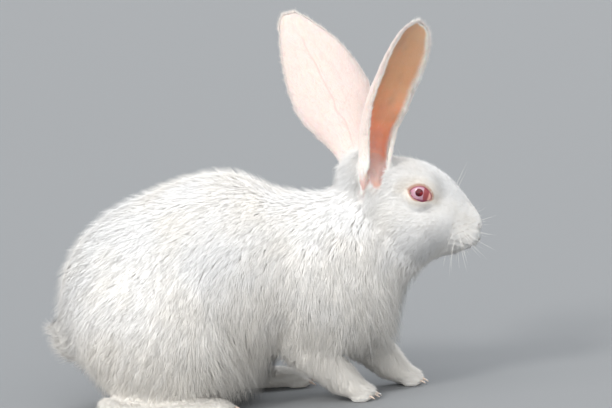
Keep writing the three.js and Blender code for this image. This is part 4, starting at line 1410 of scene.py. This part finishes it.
def makeSkinMaterial(name, shows, roughness, bump, **sockets):
    material, tree, shader = newMaterial(name, roughness, **sockets)
    colour = wire(tree, "ShaderNodeGroup", {}, node_tree=markingsAndPaintedShade)
    colour.inputs[0].default_value = shows
    tree.links.new(colour.outputs[0], shader.inputs["Base Color"])
    place = wire(tree, "ShaderNodeTexCoord").outputs["Object"]
    grain = plus(tree, noiseNode(tree, place, 900.0, 3.0), noiseNode(tree, place, 260.0, 2.0))
    bumped = wire(tree, "ShaderNodeBump", {"Height": grain, "Strength": bump, "Distance": 0.0006})
    tree.links.new(bumped.outputs[0], shader.inputs["Normal"])
    return material


def makeFurMaterial():
    material, tree, shader = newMaterial("whiteFur", 0.6, **{
        "Sheen Weight": 0.2, "Sheen Roughness": 0.4, "Specular IOR Level": 0.35})
    group = wire(tree, "ShaderNodeGroup", {}, node_tree=markingsAndPaintedShade)
    group.inputs[0].default_value = 0.55
    along = attributeNode(tree, "along")
    colour = mixColours(tree, stepNode(tree, along, 0.0, 0.55), furColours["root"], group.outputs[0])
    tint = attributeNode(tree, "tint")
    bright = wire(tree, "ShaderNodeHueSaturation",
                  {"Saturation": stepNode(tree, tint, 0.0, 1.0, 1.25, 0.8),
                   "Value": stepNode(tree, tint, 0.0, 1.0, 0.93, 1.04), "Color": colour}).outputs[0]
    tree.links.new(bright, shader.inputs["Base Color"])
    return material


eyeColours = {
    "pupil": (0.055, 0.002, 0.006, 1), "pupilGlow": (0.17, 0.005, 0.01, 1),
    "irisInner": (0.52, 0.33, 0.40, 1), "irisOuter": (0.50, 0.24, 0.32, 1),
    "limbus": (0.24, 0.035, 0.09, 1), "white": (0.52, 0.20, 0.21, 1),
    "thirdLid": (0.34, 0.075, 0.08, 1), "caruncle": (0.80, 0.42, 0.36, 1),
}


def makeEyeMaterial():
    material, tree, shader = newMaterial("albinoEye", 0.3, **{
        "Coat Weight": 0.8, "Coat Roughness": 0.03, "Specular IOR Level": 0.0})
    onIris = split(tree, attributeNode(tree, "onIris", "Vector"))
    x, y = onIris[0], onIris[1]
    reach = mathNode(tree, "SQRT", plus(tree, times(tree, x, x), times(tree, y, y)))
    angle = mathNode(tree, "ARCTAN2", y, x)
    spokes = joined(tree, mathNode(tree, "COSINE", angle), mathNode(tree, "SINE", angle),
                    times(tree, reach, 0.06))
    fibres = noiseNode(tree, spokes, 9.0, 4.0)
    iris, pupil = eyeball["irisRadius"], eyeball["pupilRadius"]
    outwards = stepNode(tree, reach, pupil + 0.6, iris - 0.6)
    colour = mixColours(tree, outwards, eyeColours["irisInner"], eyeColours["irisOuter"])
    dark = times(tree, stepNode(tree, fibres, 0.45, 0.75), 0.45)
    colour = mixColours(tree, dark, colour, eyeColours["limbus"])
    glow = noiseNode(tree, spokes, 1.5, 1.0)
    hole = mixColours(tree, stepNode(tree, glow, 0.4, 0.7), eyeColours["pupil"], eyeColours["pupilGlow"])
    wobble = times(tree, minus(tree, fibres, 0.5), 0.35)
    inPupil = stepNode(tree, plus(tree, reach, wobble), pupil + 0.25, pupil - 0.1)
    colour = mixColours(tree, inPupil, colour, hole)
    colour = mixColours(tree, stepNode(tree, reach, iris - 0.75, iris - 0.1), colour, eyeColours["limbus"])
    colour = mixColours(tree, stepNode(tree, reach, iris + 0.3, iris + 1.0), colour, eyeColours["white"])
    corner = attributeNode(tree, "towardsCorner")
    flesh = stepNode(tree, corner, 5.6, 7.4)
    flesh = mixColours(tree, flesh, eyeColours["thirdLid"], eyeColours["caruncle"])
    colour = mixColours(tree, attributeNode(tree, "thirdLid"), colour, flesh)
    # Painted shade of the lids: the ball darkens towards the edge of the opening
    edge = stepNode(tree, attributeNode(tree, "fromEdge"), 0.9, 0.0, 0.0, 0.75)
    colour = mixColours(tree, edge, colour, eyeColours["limbus"])
    tree.links.new(colour, shader.inputs["Base Color"])
    return material


def makePlainMaterial(name, first, second, scale, roughness, **sockets):
    material, tree, shader = newMaterial(name, roughness, **sockets)
    place = wire(tree, "ShaderNodeTexCoord").outputs["Object"]
    colour = mixColours(tree, noiseNode(tree, place, scale), first, second)
    tree.links.new(colour, shader.inputs["Base Color"])
    return material


skin, fleshTree, fleshOwner = wrapFlesh()
report(f"skin wrapped, {len(skin.data.vertices)} points")
shapeSkin()
skin.data.shade_smooth()
report(f"skin shaped, {len(skin.data.polygons)} faces")
markSkin()
report("skin marked")
markingsAndPaintedShade = makeMarkingsAndPaintedShade()
whiteFur = makeFurMaterial()
skin.data.materials.append(makeSkinMaterial("underFur", 0.5, 0.62, 0.25, **{
    "Subsurface Weight": 0.8, "Subsurface Scale": 0.005, "Subsurface Radius": (1.0, 0.95, 0.9)}))
skin.data.materials.append(makeSkinMaterial("earSkin", 0.85, 0.55, 0.4, **{
    "Subsurface Weight": 0.5, "Subsurface Scale": 0.006, "Subsurface Radius": (1.0, 0.35, 0.2)}))
coat = makeCoat(whiteFur)
eyeMaterial = makeEyeMaterial()
eyePieces = {side: makeEye(side, eyeMaterial) for side in sideSign}
horn = makePlainMaterial("paleHorn", (0.78, 0.66, 0.55, 1), (0.62, 0.48, 0.40, 1), 300.0, 0.35)
claws = [makeClaws(foot, horn) for foot in feet]
report("eyes and claws are in")
whiskerHair = makePlainMaterial("whiskerHair", (0.93, 0.92, 0.89, 1), (0.84, 0.81, 0.76, 1), 90.0, 0.4)
whiskerTree = makeWhiskerTree()
skinCopy = bmesh.new()
skinCopy.from_mesh(skin.data)
surface = BVHTree.FromBMesh(skinCopy)
skinCopy.free()
hairs = [makeWhiskers("whiskers" + kind.capitalize(), kind, whiskerTree, whiskerHair, surface)
         for kind in ("strong", "fine", "brow")]
report("whiskers are in")

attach(skin, "root")
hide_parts(*fleshNodes)
for side, piece in eyePieces.items():
    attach(piece, "root")
    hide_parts("eye_" + side.lower())
for slot, pieces in (("coat", coat), ("claw", claws), ("whisker", hairs)):
    for piece in pieces:
        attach(piece, "root")
